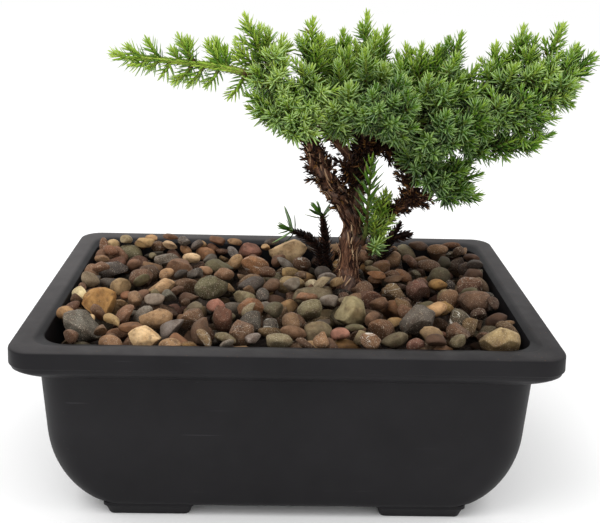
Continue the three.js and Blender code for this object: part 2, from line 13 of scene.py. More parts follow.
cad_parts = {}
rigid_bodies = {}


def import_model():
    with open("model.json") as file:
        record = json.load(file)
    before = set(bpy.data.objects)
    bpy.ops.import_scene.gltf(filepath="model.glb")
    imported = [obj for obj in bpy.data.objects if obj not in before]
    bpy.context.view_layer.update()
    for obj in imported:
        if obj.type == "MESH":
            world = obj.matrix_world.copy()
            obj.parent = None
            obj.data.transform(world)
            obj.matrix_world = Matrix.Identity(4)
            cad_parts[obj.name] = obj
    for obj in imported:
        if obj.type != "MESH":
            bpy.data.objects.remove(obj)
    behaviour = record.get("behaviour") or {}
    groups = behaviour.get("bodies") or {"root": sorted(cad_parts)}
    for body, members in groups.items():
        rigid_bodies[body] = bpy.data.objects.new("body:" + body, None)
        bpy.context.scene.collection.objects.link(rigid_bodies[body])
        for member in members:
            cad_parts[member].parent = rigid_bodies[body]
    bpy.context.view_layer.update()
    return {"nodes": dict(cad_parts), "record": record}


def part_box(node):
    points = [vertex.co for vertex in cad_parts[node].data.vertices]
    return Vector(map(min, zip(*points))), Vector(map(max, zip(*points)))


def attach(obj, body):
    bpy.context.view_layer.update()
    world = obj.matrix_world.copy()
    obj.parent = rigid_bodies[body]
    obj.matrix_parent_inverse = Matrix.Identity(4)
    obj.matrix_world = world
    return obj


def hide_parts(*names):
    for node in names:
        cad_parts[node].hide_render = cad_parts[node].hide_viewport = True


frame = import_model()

MM = 0.001
POT_LOW, POT_HIGH = (Vector(corner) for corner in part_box("pot"))
RIM = Vector(((POT_LOW.x + POT_HIGH.x) / 2, (POT_LOW.y + POT_HIGH.y) / 2, POT_HIGH.z))
LIP_STEP = 0.45  # how far the inner part of the rim's top lies below the outer part
SLOTS = {part["node"]: part["material_slot"] for part in frame["record"]["subparts"]}


def at(x, y, z):
    """A place on the plant in metres, in the frame."""
    return RIM + Vector((x, y, z)) * MM


# ------------------------------------------------------------------ nodes as expressions


class Wire:
    """One output of a node. Arithmetic on it adds Math nodes to its graph."""

    def __init__(self, graph, socket):
        self.graph = graph
        self.socket = socket

    def maths(self, operation, *values):
        return self.graph.node("ShaderNodeMath", {"operation": operation}, dict(enumerate(values)))

    def __add__(self, other):
        return self.maths("ADD", self, other)

    def __sub__(self, other):
        return self.maths("SUBTRACT", self, other)

    def __mul__(self, other):
        return self.maths("MULTIPLY", self, other)

    def __truediv__(self, other):
        return self.maths("DIVIDE", self, other)

    def __rsub__(self, other):
        return self.maths("SUBTRACT", other, self)

    def __rtruediv__(self, other):
        return self.maths("DIVIDE", other, self)

    __radd__ = __add__
    __rmul__ = __mul__

    def also(self, name):
        """Another output of the same node."""
        return Wire(self.graph, self.socket.node.outputs[name])


class Graph:
    """A node tree that is built by calls: settings first, then the sockets' values or links."""

    def __init__(self, tree):
        self.tree = tree
        tree.nodes.clear()

    def node(self, kind, settings=None, sockets=None, out=0):
        node = self.tree.nodes.new(kind)
        for name, value in (settings or {}).items():
            if name == "stops":
                fill_ramp(node.color_ramp, value)
            else:
                setattr(node, name, value)
        for key, value in (sockets or {}).items():
            if isinstance(value, Wire):
                self.tree.links.new(value.socket, node.inputs[key])
            else:
                node.inputs[key].default_value = value
        return Wire(self, node.outputs[out])

    def vectors(self, operation, sockets):
        """Arithmetic on vectors, which a Math node can't do."""
        return self.node("ShaderNodeVectorMath", {"operation": operation}, sockets)


def fill_ramp(ramp, stops):
    """Sets a colour ramp to the (place, colour) stops given."""
    while len(ramp.elements) < len(stops):
        ramp.elements.new(1)
    for element, (place, colour) in zip(ramp.elements, stops):
        element.position = place
        element.color = colour


def paint(code):
    """A colour written as #rrggbb, as the linear values that a socket holds."""
    parts = [int(code[i : i + 2], 16) / 255 for i in (1, 3, 5)]
    return (*(c / 12.92 if c <= 0.04045 else ((c + 0.055) / 1.055) ** 2.4 for c in parts), 1.0)


class Finish(Graph):
    """A material, with the few patterns that this object's finishes are made of."""

    def __init__(self, name):
        self.material = bpy.data.materials.new(name)
        self.material.use_nodes = True
        super().__init__(self.material.node_tree)

    def place(self, scale=(1, 1, 1), turn=(0, 0, 0)):
        """Object coordinates in millimetres, stretched and turned."""
        coords = self.node("ShaderNodeTexCoord", out="Object")
        size = Vector(scale) / MM
        return self.node("ShaderNodeMapping", None, {"Vector": coords, "Rotation": turn, "Scale": size})

    def attribute(self, name, out="Fac"):
        return self.node("ShaderNodeAttribute", {"attribute_name": name}, out=out)

    def noise(self, where, scale, detail=3.0, roughness=0.55, distortion=0.0):
        sockets = {"Vector": where, "Scale": scale, "Detail": detail, "Roughness": roughness}
        return self.node("ShaderNodeTexNoise", None, {**sockets, "Distortion": distortion})

    def cells(self, where, scale):
        return self.node("ShaderNodeTexVoronoi", None, {"Vector": where, "Scale": scale})

    def band(self, value, low, high):
        """0 below low and 1 above high, with a smooth step between; high below low turns it round."""
        sockets = {"Value": value, "From Min": low, "From Max": high}
        return self.node("ShaderNodeMapRange", {"interpolation_type": "SMOOTHSTEP"}, sockets)

    def ramp(self, value, stops):
        stops = [(place, paint(code)) for place, code in stops]
        return self.node("ShaderNodeValToRGB", {"stops": stops}, {"Fac": value})

    def mix(self, factor, first, second, blend="MIX"):
        """Two colours mixed: each is a wire or a #rrggbb code."""
        first, second = (paint(c) if isinstance(c, str) else c for c in (first, second))
        settings = {"data_type": "RGBA", "blend_type": blend}
        return self.node("ShaderNodeMix", settings, {0: factor, 6: first, 7: second}, out=2)

    def bump(self, height, distance, strength):
        sockets = {"Height": height, "Distance": distance * MM, "Strength": strength}
        return self.node("ShaderNodeBump", None, sockets)

    def done(self, **sockets):
        """Ends the graph in a Principled shader; an underscore in a name stands for a space."""
        named = {key.replace("_", " "): value for key, value in sockets.items()}
        shader = self.node("ShaderNodeBsdfPrincipled", None, named)
        output = self.tree.nodes.new("ShaderNodeOutputMaterial")
        self.tree.links.new(shader.socket, output.inputs["Surface"])
        return self.material


class Growth(Graph):
    """A Geometry Nodes tree with named inputs."""

    def __init__(self, name, inputs):
        tree = bpy.data.node_groups.new(name, "GeometryNodeTree")
        super().__init__(tree)
        tree.interface.new_socket("Geometry", in_out="INPUT", socket_type="NodeSocketGeometry")
        for label, kind in inputs.items():
            tree.interface.new_socket(label, in_out="INPUT", socket_type=f"NodeSocket{kind}")
        tree.interface.new_socket("Geometry", in_out="OUTPUT", socket_type="NodeSocketGeometry")
        self.inputs = self.node("NodeGroupInput")

    def given(self, name):
        return self.inputs.also(name)

    def named(self, name, kind="FLOAT"):
        return self.node("GeometryNodeInputNamedAttribute", {"data_type": kind}, {"Name": name})

    def store(self, geometry, name, value, kind="FLOAT", domain="POINT"):
        settings = {"data_type": kind, "domain": domain}
        sockets = {"Geometry": geometry, "Name": name, "Value": value}
        return self.node("GeometryNodeStoreNamedAttribute", settings, sockets)

    def random(self, low, high, seed):
        """A random number for each element; the sockets 2 and 3 are the lowest and the highest."""
        sockets = {2: low, 3: high, "Seed": seed}
        return self.node("FunctionNodeRandomValue", {"data_type": "FLOAT"}, sockets, out=1)

    def turned(self, rotation, axis, angle):
        """A rotation turned further about one of its own axes."""
        turn = self.node("FunctionNodeAxisAngleToRotation", None, {"Axis": axis, "Angle": angle})
        return self.node("FunctionNodeRotateRotation", {"rotation_space": "LOCAL"}, {0: rotation, 1: turn})

    def done(self, geometry, material):
        """Ends the tree: realized, shaded smooth and with its material."""
        real = self.node("GeometryNodeRealizeInstances", None, {"Geometry": geometry})
        shaded = self.node("GeometryNodeSetShadeSmooth", None, {"Geometry": real, "Shade Smooth": True})
        ready = self.node("GeometryNodeSetMaterial", None, {"Geometry": shaded, "Material": material})
        output = self.tree.nodes.new("NodeGroupOutput")
        self.tree.links.new(ready.socket, output.inputs[0])
        return self.tree


# ------------------------------------------------------------------ meshes and pieces


def mesh_of(name, points, faces=(), edges=()):
    mesh = bpy.data.meshes.new(name)
    mesh.from_pydata([tuple(p) for p in points], list(edges), list(faces))
    mesh.update()
    return mesh


def tag(mesh, name, kind, values):
    """Stores one value for each point of a mesh."""
    attribute = mesh.attributes.new(name, kind, "POINT")
    key = {"FLOAT": "value", "FLOAT_VECTOR": "vector", "FLOAT_COLOR": "color"}[kind]
    attribute.data.foreach_set(key, np.asarray(values, dtype=np.float32).ravel())


def settled(obj):
    """The mesh of an object with its modifiers worked in; the object itself goes."""
    now = bpy.context.evaluated_depsgraph_get()
    done = obj.evaluated_get(now)
    mesh = bpy.data.meshes.new_from_object(done, preserve_all_data_layers=True, depsgraph=now)
    bpy.data.objects.remove(obj)
    return mesh


def scratch(mesh, *modifiers):
    """An object to work on, with modifiers given as (kind, settings)."""
    obj = bpy.data.objects.new(mesh.name, mesh)
    bpy.context.scene.collection.objects.link(obj)
    for kind, settings in modifiers:
        modifier = obj.modifiers.new(kind.lower(), kind)
        for name, value in settings.items():
            setattr(modifier, name, value)
    return obj


def grow(mesh, tree, **values):
    """The mesh that a Geometry Nodes tree makes from another mesh; an underscore stands for a space."""
    obj = scratch(mesh)
    modifier = obj.modifiers.new("grow", "NODES")
    modifier.node_group = tree
    wanted = {key.replace("_", " "): value for key, value in values.items()}
    for item in tree.interface.items_tree:
        if item.in_out == "INPUT" and item.name in wanted:
            modifier[item.identifier] = wanted[item.name]
    return settled(obj)


def piece(name, mesh, material, nodes=()):
    """A finished piece of the object, which stands for the CAD nodes named."""
    mesh.name = name
    mesh.materials.clear()
    mesh.materials.append(material)
    obj = bpy.data.objects.new(name, mesh)
    bpy.context.scene.collection.objects.link(obj)
    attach(obj, "root")
    if nodes:
        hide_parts(*nodes)
    return obj


def smooth_path(points, step):
    """Points a step apart along a smooth curve through the given ones."""
    p = np.array([tuple(q) for q in points], dtype=float)
    p = np.vstack([2 * p[0] - p[1], p, 2 * p[-1] - p[-2]])
    fine = []
    for i in range(1, len(p) - 2):
        a, b, c, d = p[i - 1 : i + 3]
        for t in np.linspace(0, 1, 16, endpoint=False):
            bend = (2 * a - 5 * b + 4 * c - d) * t * t + (3 * b - a - 3 * c + d) * t**3
            fine.append(0.5 * (2 * b + (c - a) * t + bend))
    fine = np.array([*fine, p[-2]])
    run = np.concatenate([[0], np.cumsum(np.linalg.norm(np.diff(fine, axis=0), axis=1))])
    count = max(2, int(round(run[-1] / step)) + 1)
    places = np.linspace(0, run[-1], count)
    return np.stack([np.interp(places, run, fine[:, k]) for k in range(3)], axis=1)


def headings(path):
    """The unit direction of a path at each of its points."""
    ahead = np.gradient(path, axis=0)
    return ahead / np.linalg.norm(ahead, axis=1, keepdims=True)


def side_frames(path):
    """Two directions across a path at each of its points, carried along it without twisting."""
    ahead = headings(path)
    side = np.cross(ahead[0], (0.31, 0.95, 0.05))
    sides = []
    for direction in ahead:
        side = side - direction * side.dot(direction)
        side = side / np.linalg.norm(side)
        sides.append(side)
    sides = np.array(sides)
    return sides, np.cross(ahead, sides)


class Skin:
    """Points and faces of closed shapes made from rings, gathered for one mesh."""

    def __init__(self):
        self.points = []
        self.faces = []

    def loft(self, rings):
        """A skin over rings of equal count, capped at both ends."""
        start = len(self.points)
        count = len(rings[0])
        for ring in rings:
            self.points.extend(ring)
        end = len(self.points) - count
        for low in range(start, end, count):
            high = low + count
            for i in range(count):
                j = (i + 1) % count
                self.faces.append((low + i, low + j, high + j, high + i))
        self.faces.append(tuple(reversed(range(start, start + count))))
        self.faces.append(tuple(range(end, end + count)))

    def tube(self, path, radii, sides):
        """A round tube along a path of metres, with a radius for each point."""
        across, along = side_frames(path)
        turns = np.linspace(0, 2 * math.pi, sides, endpoint=False)
        rings = []
        for centre, side, up, radius in zip(path, across, along, radii):
            rings.append([centre + radius * (side * math.cos(a) + up * math.sin(a)) for a in turns])
        self.loft(rings)

    def mesh(self, name):
        return mesh_of(name, self.points, self.faces)


# ------------------------------------------------------------------ camera

CAMERA_PLACE = (-5.4, -392.7, 138.6)  # from the middle of the rim
CAMERA_YAW = math.radians(1.51)  # to the right
CAMERA_PITCH = math.radians(18.0)  # down
CAMERA_ROLL = math.radians(1.48)
LENS = 58.25  # on a sensor 36 wide


def add_camera():
    data = bpy.data.cameras.new("camera")
    data.lens = LENS
    data.sensor_width = 36
    data.clip_start = 0.01
    camera = bpy.data.objects.new("camera", data)
    bpy.context.scene.collection.objects.link(camera)
    ahead = Vector((
        math.sin(CAMERA_YAW) * math.cos(CAMERA_PITCH),
        math.cos(CAMERA_YAW) * math.cos(CAMERA_PITCH),
        -math.sin(CAMERA_PITCH),
    ))
    level = Vector((math.cos(CAMERA_YAW), -math.sin(CAMERA_YAW), 0))
    upright = level.cross(ahead)
    right = level * math.cos(CAMERA_ROLL) + upright * math.sin(CAMERA_ROLL)
    up = right.cross(ahead)
    turn = Matrix((right, up, -ahead)).transposed()
    camera.matrix_world = Matrix.Translation(at(*CAMERA_PLACE)) @ turn.to_4x4()
    bpy.context.scene.camera = camera


add_camera()

# ------------------------------------------------------------------ finishes


def pot_finish():
    """Moulded charcoal plastic: a fine matt texture, dust on top of the rim that is partly painted light,
    lighter towards the left and back, and rubbed marks.
    """
    f = Finish("charcoal_moulded_plastic")
    where = f.place()
    grain = f.noise(where, 2.2, 4, 0.6)
    cloud = f.noise(where, 0.035, 3, 0.6)
    smear = f.noise(f.place((0.05, 0.05, 0.014)), 1.0, 4, 0.65)
    scratch_a = f.noise(f.place((0.03, 1.1, 1.1), (0.2, 0.5, 0.7)), 1.0, 2, 0.4)
    scratch_b = f.noise(f.place((1.3, 0.04, 1.3), (0.4, 0.1, -0.5)), 1.0, 2, 0.4)
    marks = f.band(scratch_a, 0.74, 0.80) + f.band(scratch_b, 0.75, 0.81)
    along = f.node("ShaderNodeSeparateXYZ", None, {0: where})
    top = f.band(along.also("Z"), RIM.z / MM - LIP_STEP - 0.3, RIM.z / MM - 0.1)
    # Painted light: the rim's top is lightened over its dust, more towards the left and the back, where the
    # light falls.
    painted_light_left_back = f.band(along, 60, -110) * 0.14 + f.band(along.also("Y"), -76, 40) * 0.31
    dust_and_painted_light = top * (0.19 + painted_light_left_back + (f.noise(where, 0.10, 5, 0.6) - 0.5) * 0.4)
    specks = top * f.band(f.cells(where, 0.55), 0.17, 0.09) * f.band(f.noise(where, 0.09), 0.5, 0.62)
    shade = f.ramp(cloud * 0.7 + smear * 0.3, [(0.3, "#161517"), (0.7, "#1f1e20")])
    dusted_and_painted_lit = f.mix(dust_and_painted_light, shade, "#5f5c5c")
    soiled = f.mix(specks * 0.8, dusted_and_painted_lit, "#5a4636")
    marked = f.mix(marks * 0.12, soiled, "#6a696c")
    rough = 0.52 + (smear - 0.5) * 0.28 + top * 0.15
    normal = f.bump(grain, 0.05, 0.45)
    return f.done(Base_Color=marked, Roughness=rough, Normal=normal, Specular_IOR_Level=0.13)


def pebble_finish():
    """River stone: each pebble's own colour, clouded, flecked and sometimes veined, and darker lower down in
    the bed and towards the right as painted shade.
    """
    f = Finish("river_pebble")
    own = f.attribute("stone", "Color")
    fleck = f.attribute("fleck")
    where = f.vectors("ADD", {0: f.place(), 1: f.attribute("drift", "Vector")})
    cloud = f.noise(where, 0.22, 4, 0.6)
    fine = f.noise(where, 1.9, 3, 0.7)
    specks = f.cells(where, 1.7)
    dark = f.band(specks, 0.30, 0.16) * f.band(f.noise(where, 0.5, 2), 0.42, 0.58) * fleck
    pale = f.band(f.noise(where, 2.3, 2, 0.6), 0.58, 0.68) * fleck
    layered = f.vectors("MULTIPLY", {0: where, 1: (0.05, 0.05, 0.32)})
    seam = f.noise(layered, 1.0, 2, 0.5, 0.8) - 0.5
    vein = f.band(seam.maths("ABSOLUTE", seam), 0.010, 0.003) * f.band(fleck, 0.9, 0.97)
    # Painted shade: the stones darken lower down in the bed and towards the right, away from the light at the
    # left.
    place = f.node("ShaderNodeSeparateXYZ", None, {0: f.place()})
    height = place.also("Z") + fine * 3 - f.band(place, -30, 90) * 7
    dry = f.band(height, RIM.z / MM - 9, RIM.z / MM + 3)
    shaded_low_and_right = f.mix(1.0, own, f.ramp(dry, [(0.0, "#8d8681"), (1.0, "#ffffff")]), "MULTIPLY")
    clouds = f.ramp(cloud, [(0.28, "#8c857e"), (0.48, "#d6d1cb"), (0.66, "#ffffff")])
    clouded = f.mix(0.8, shaded_low_and_right, clouds, "MULTIPLY")
    warmed = f.mix(f.band(f.noise(where, 0.13, 2), 0.5, 0.75) * 0.35, clouded, "#8a5c38", "SOFT_LIGHT")
    stained = f.mix(f.band(f.noise(where, 0.42, 5, 0.7), 0.5, 0.66) * 0.5, warmed, "#4a3425")
    spotted = f.mix(dark * 0.7, stained, "#211813")
    flecked = f.mix(pale * 0.6, spotted, "#cfc0aa")
    veined = f.mix(vein * 0.7, flecked, "#d8d2c6")
    normal = f.bump(fine * 0.6 + cloud, 0.35, 0.6)
    return f.done(Base_Color=veined, Roughness=0.6 + fine * 0.3, Normal=normal, Specular_IOR_Level=0.3)


def soil_finish():
    """Damp, crumbly bonsai soil."""
    f = Finish("damp_soil")
    where = f.place()
    crumbs = f.cells(where, 0.75)
    fine = f.noise(where, 1.6, 5, 0.7)
    shade = f.ramp(fine * 0.6 + crumbs * 0.4, [(0.25, "#140d09"), (0.5, "#2c2019"), (0.75, "#4a3728")])
    return f.done(Base_Color=shade, Roughness=0.95, Normal=f.bump(crumbs + fine * 0.6, 0.9, 0.9))


def bark_finish():
    """Old juniper bark: dark red-brown, splitting into pale, greyish brown fibres along the limb."""
    f = Finish("fibrous_bark")
    fibre = f.attribute("fibre", "Vector")
    stretch = f.node("ShaderNodeMapping", None, {"Vector": fibre, "Scale": (1.0, 1.0, 0.10)})
    strands = f.noise(stretch, 1.5, 4, 0.65)
    broad = f.noise(stretch, 0.55, 3, 0.6)
    fine = f.noise(stretch, 4.5, 3, 0.6)
    patch = f.noise(fibre, 0.12, 3, 0.6)
    stops = [(0.3, "#140c0a"), (0.45, "#3d281f"), (0.58, "#845c47"), (0.72, "#d2b090")]
    shade = f.ramp(strands * 0.6 + fine * 0.4, stops)
    greyed = f.mix(f.band(patch, 0.5, 0.64) * 0.5, shade, "#86736a")
    dark = f.mix(f.band(broad, 0.5, 0.36) * 0.75, greyed, "#150c0a")
    normal = f.bump(strands + fine * 0.5, 0.5, 0.9)
    return f.done(Base_Color=dark, Roughness=0.95, Normal=normal, Specular_IOR_Level=0.2)


def fibre_finish():
    """Loose strips of bark, from near black to straw brown."""
    f = Finish("loose_bark_strip")
    chance = f.attribute("chance")
    streak = f.noise(f.place(), 1.2, 2, 0.6)
    stops = [(0.1, "#1d1210"), (0.4, "#4e3226"), (0.65, "#94694e"), (0.9, "#dab994")]
    shade = f.ramp(chance * 0.8 + streak * 0.2, stops)
    return f.done(Base_Color=shade, Roughness=0.95, Specular_IOR_Level=0.2)


def needle_finish():
    """Awl-shaped juniper needles: blue-green inside the crown and yellow-green at the growing tips, darkened
    by the painted shade that their tone carries; the pale inner stripe weakens with it.
    """
    f = Finish("juniper_needle")
    tone = f.attribute("tone")
    life = f.attribute("life")
    blade = f.attribute("blade")
    inner = f.attribute("inner")
    chance = f.attribute("chance")
    green = f.ramp(tone + (chance - 0.5) * 0.24, [
        (0.0, "#11220c"), (0.3, "#32561c"), (0.55, "#628c2b"), (0.8, "#8fb03a"), (1.0, "#b6ce58"),
    ])
    foot = f.mix(f.band(blade, 0.3, 0.0) * 0.15, green, "#a9bf6c")
    striped = f.mix(f.band(inner, 0.35, 0.8) * (0.14 + tone * 0.66), foot, "#c2d9ae")
    tipped = f.mix(f.band(blade, 0.84, 1.0) * 0.45, striped, "#cdd07c")
    dead = [(0.0, "#0f0908"), (0.5, "#281712"), (0.82, "#4e3123"), (1.0, "#a8773f")]
    dry = f.ramp(chance * (0.75 + tone), dead)
    leaf = f.mix(life, dry, tipped)
    return f.done(Base_Color=leaf, Roughness=0.55, Specular_IOR_Level=0.18)


def stem_finish():
    """Thin shoots: green and scaly towards the tips, brown where they leave the wood."""
    f = Finish("young_stem")
    tone = f.attribute("tone")
    life = f.attribute("life")
    along = f.attribute("along")
    where = f.place()
    scales = f.cells(where, 0.9)
    green = f.ramp(tone, [(0.1, "#3f4d22"), (0.5, "#6f8038"), (0.9, "#97a548")])
    woody = f.mix(f.noise(where, 0.8, 3), "#2a1913", "#5c3b28")
    young = f.mix(f.band(along + (f.noise(where, 0.3) - 0.5) * 0.5, 0.15, 0.45), woody, green)
    alive = f.mix(life, f.ramp(scales, [(0.1, "#1e1310"), (0.8, "#4f3627")]), young)
    return f.done(Base_Color=alive, Roughness=0.8, Normal=f.bump(scales, 0.3, 0.7), Specular_IOR_Level=0.2)


def net_finish():
    """Dark drainage netting with soil caught in it."""
    f = Finish("drainage_netting")
    dirt = f.band(f.noise(f.place(), 0.35, 4, 0.6), 0.5, 0.7)
    shade = f.mix(dirt * 0.5, "#1d201c", "#3d2e22")
    return f.done(Base_Color=shade, Roughness=0.55 + dirt * 0.3)


POT_FINISH = pot_finish()
PEBBLE_FINISH = pebble_finish()
SOIL_FINISH = soil_finish()
BARK_FINISH = bark_finish()
FIBRE_FINISH = fibre_finish()
NEEDLE_FINISH = needle_finish()
STEM_FINISH = stem_finish()
NET_FINISH = net_finish()

# ------------------------------------------------------------------ pot

POT_SIZE = (POT_HIGH - POT_LOW) / MM
RIM_BAND = 6.6
RIM_COVE = 7.4
END_OVERHANG = 8.0
SIDE_OVERHANG = 9.5
RIM_FLAT = 7.5
LIP_FALL = 0.8
RIM_CORNER = 9.0
WALL_CORNER = 13.0
WALL = 2.4
FLOOR_UNDER = 4.5
FLOOR_TOP = 7.5
END_DRAFT = 1.5
SIDE_DRAFT = 6.0
END_CURVE_RUN = 21.0
END_CURVE_RISE = 30.0
SIDE_ROUND = 3.0  # rounding where the long sides meet the underside
FOOT_LENGTH = 35.0
FOOT_DEPTH = 15.0
FOOT_TAPER = 1.6
DRAIN_RADIUS = 8.0
DRAIN_SPACING = 76.0
CORNER_STEPS = 12
CURVE_STEPS = 20  # rings up the curved lower part of the wall
STRAIGHT_STEPS = 6
COVE_STEPS = 12
UNDER_EDGE = 0.7  # radius of the rim's lower edge
UPPER_EDGE = 1.1
RIM_LEAN = 0.2  # how much further in the rim's band is at its top than at its foot
LIP_SOFT = 0.15  # how far the small edges of the lip are softened
FOOT_CORNER = 2.2
DRAIN_SIDES = 48
SHARP_ANGLE = math.radians(38)

WALL_TOP = POT_SIZE.z - RIM_BAND - RIM_COVE
CURVE_TOP = FLOOR_UNDER + END_CURVE_RISE


def rounded_ring(half_x, half_y, radius, z, middle=(0, 0)):
    """A rounded rectangle in metres, at a height in millimetres over the ground."""
    ring = []
    for corner in range(4):
        sign_x = 1 if corner in (0, 3) else -1
        sign_y = 1 if corner < 2 else -1
        for s in range(CORNER_STEPS + 1):
            turn = (corner + s / CORNER_STEPS) * math.pi / 2
            x = middle[0] + sign_x * (half_x - radius) + radius * math.cos(turn)
            y = middle[1] + sign_y * (half_y - radius) + radius * math.sin(turn)
            ring.append(at(x, y, z - POT_SIZE.z))
    return ring


def pot_ring(inset_end, inset_side, radius, z):
    return rounded_ring(POT_SIZE.x / 2 - inset_end, POT_SIZE.y / 2 - inset_side, radius, z)


def wall_inset(z, thickness, bottom):
    """How far the wall lies inside the rim's edge at a height: at the ends and at the long sides."""
    drop = (WALL_TOP - z) / (WALL_TOP - FLOOR_UNDER)
    under = min(max((CURVE_TOP - z) / (CURVE_TOP - bottom), 0), 1)
    curve = END_CURVE_RUN * (1 - math.sqrt(1 - under * under))
    low = max(0.0, (bottom + SIDE_ROUND - z) / SIDE_ROUND)
    curl = SIDE_ROUND * (1 - math.sqrt(max(0.0, 1 - low * low)))
    at_end = END_OVERHANG + thickness + END_DRAFT * drop + curve
    at_side = SIDE_OVERHANG + thickness + SIDE_DRAFT * drop + curl
    return at_end, at_side


def wall_rings(thickness, bottom):
    """Rings of the wall from a bottom height up to the rim's underside."""
    turns = [k / CURVE_STEPS * math.pi / 2 for k in range(CURVE_STEPS + 1)]
    heights = [CURVE_TOP - (CURVE_TOP - bottom) * math.cos(turn) for turn in turns]
    straight = WALL_TOP - CURVE_TOP
    heights += [CURVE_TOP + straight * k / STRAIGHT_STEPS for k in range(1, STRAIGHT_STEPS + 1)]
    return [pot_ring(*wall_inset(z, thickness, bottom), WALL_CORNER - thickness, z) for z in heights]


def even_ring(inset, corner, z):
    """A ring of the rim with the same inset at the ends and the sides."""
    return pot_ring(inset, inset, corner, z)


def edge_arc(radius, lean, centre_z, start, end):
    """Rings round an outer edge of the rim, lean further in, from one angle in degrees to another."""
    steps = 4
    rings = []
    for k in range(steps + 1):
        turn = math.radians(start + (end - start) * k / steps)
        inset = lean + radius - radius * math.cos(turn)
        rings.append(even_ring(inset, RIM_CORNER - inset * 0.4, centre_z + radius * math.sin(turn)))
    return rings


def pot_shell():
    """The whole moulding as one skin: up the outside, over the rim and down the inside."""
    skin = Skin()
    top = POT_SIZE.z
    rings = wall_rings(0, FLOOR_UNDER)
    for k in range(COVE_STEPS - 1, 0, -1):
        share = k / COVE_STEPS
        radius = RIM_CORNER + (WALL_CORNER - RIM_CORNER) * share
        z = top - RIM_BAND - RIM_COVE * share**0.6
        rings.append(pot_ring(END_OVERHANG * share, SIDE_OVERHANG * share, radius, z))
    rings += edge_arc(UNDER_EDGE, 0.0, top - RIM_BAND + 0.5, -70, 0)
    rings += edge_arc(UPPER_EDGE, RIM_LEAN, top - UPPER_EDGE, 0, 90)
    step_corner = RIM_CORNER - 1.2
    rings.append(even_ring(RIM_FLAT - 0.5, step_corner, top))
    rings.append(even_ring(RIM_FLAT, step_corner, top - LIP_SOFT))
    rings.append(even_ring(RIM_FLAT + 0.25, step_corner, top - LIP_STEP + LIP_SOFT))
    rings.append(even_ring(RIM_FLAT + 0.7, step_corner + 0.2, top - LIP_STEP))
    lip = top - LIP_STEP - LIP_FALL
    for back, drop in ((0.7, -0.1), (LIP_SOFT, 0.3), (0.0, 1.0)):
        inset_end = END_OVERHANG + WALL - back
        inset_side = SIDE_OVERHANG + WALL - back
        rings.append(pot_ring(inset_end, inset_side, WALL_CORNER - WALL, lip - drop))
    rings += reversed(wall_rings(WALL, FLOOR_TOP))
    skin.loft(rings)
    return skin.mesh("pot_shell")


def foot_mesh(sign_x, sign_y):
    """One tapered foot with a soft lower edge, which spreads a little where it meets the floor."""
    inset_end = END_OVERHANG + END_DRAFT + END_CURVE_RUN
    x = sign_x * (POT_SIZE.x / 2 - inset_end - FOOT_LENGTH / 2)
    y = sign_y * (POT_SIZE.y / 2 - SIDE_OVERHANG - SIDE_DRAFT - 1 - FOOT_DEPTH / 2)
    levels = [
        (FOOT_TAPER + 0.5, 0.0),
        (FOOT_TAPER + 0.1, 0.15),
        (FOOT_TAPER - 0.1, 0.6),
        (0.4, FLOOR_UNDER - 0.5),
        (-0.3, FLOOR_UNDER),
        (-0.3, (FLOOR_UNDER + FLOOR_TOP) / 2),
    ]
    skin = Skin()
    rings = []
    for taper, z in levels:
        rings.append(rounded_ring(FOOT_LENGTH / 2 - taper, FOOT_DEPTH / 2 - taper, FOOT_CORNER, z, (x, y)))
    skin.loft(rings)
    return skin.mesh("foot")


def drill_mesh(sign):
    """What is cut away for a drain hole: a round bar with a flare at the underside."""
    skin = Skin()
    turns = [2 * math.pi * k / DRAIN_SIDES for k in range(DRAIN_SIDES)]
    centre = sign * DRAIN_SPACING / 2
    levels = [
        (1.0, FLOOR_UNDER - 1),
        (0.5, FLOOR_UNDER + 0.1),
        (0.0, FLOOR_UNDER + 0.6),
        (0.0, FLOOR_TOP + 1),
    ]
    rings = []
    for flare, z in levels:
        r = DRAIN_RADIUS + flare
        rings.append([at(centre + r * math.cos(a), r * math.sin(a), z - POT_SIZE.z) for a in turns])
    skin.loft(rings)
    return skin.mesh("drill")


def pot():
    tools = [(scratch(foot_mesh(i, j)), "UNION") for i in (-1, 1) for j in (-1, 1)]
    tools += [(scratch(drill_mesh(i)), "DIFFERENCE") for i in (-1, 1)]
    cuts = [("BOOLEAN", {"object": tool, "operation": what, "solver": "EXACT"}) for tool, what in tools]
    mesh = settled(scratch(pot_shell(), *cuts))
    for tool, _ in tools:
        bpy.data.objects.remove(tool)
    mesh.shade_smooth()
    mesh.set_sharp_from_angle(angle=SHARP_ANGLE)
    piece("pot_moulding", mesh, POT_FINISH, ["pot"])


pot()

# ------------------------------------------------------------------ netting and soil

NET_SIZE = 27.0
NET_STRANDS = 14
STRAND = 0.27  # radius
STRAND_LIFT = 0.22  # how far a strand passes over or under the middle
SOIL_CELL = 1.3
SOIL_SINK = 0.9  # the crumbly surface lies this far inside the solid, give or take a lump
SOIL_LUMP = 0.8


def netting_tree():
    """A woven square: a grid's edges as round strands."""
    g = Growth("netting", {"Strand": "Float", "Finish": "Material"})
    curve = g.node("GeometryNodeMeshToCurve", None, {"Mesh": g.given("Geometry")})
    ring = g.node("GeometryNodeCurvePrimitiveCircle", None, {"Resolution": 6, "Radius": g.given("Strand")})
    sockets = {"Curve": curve, "Profile Curve": ring, "Fill Caps": True}
    strands = g.node("GeometryNodeCurveToMesh", None, sockets)
    return g.done(strands, g.given("Finish"))


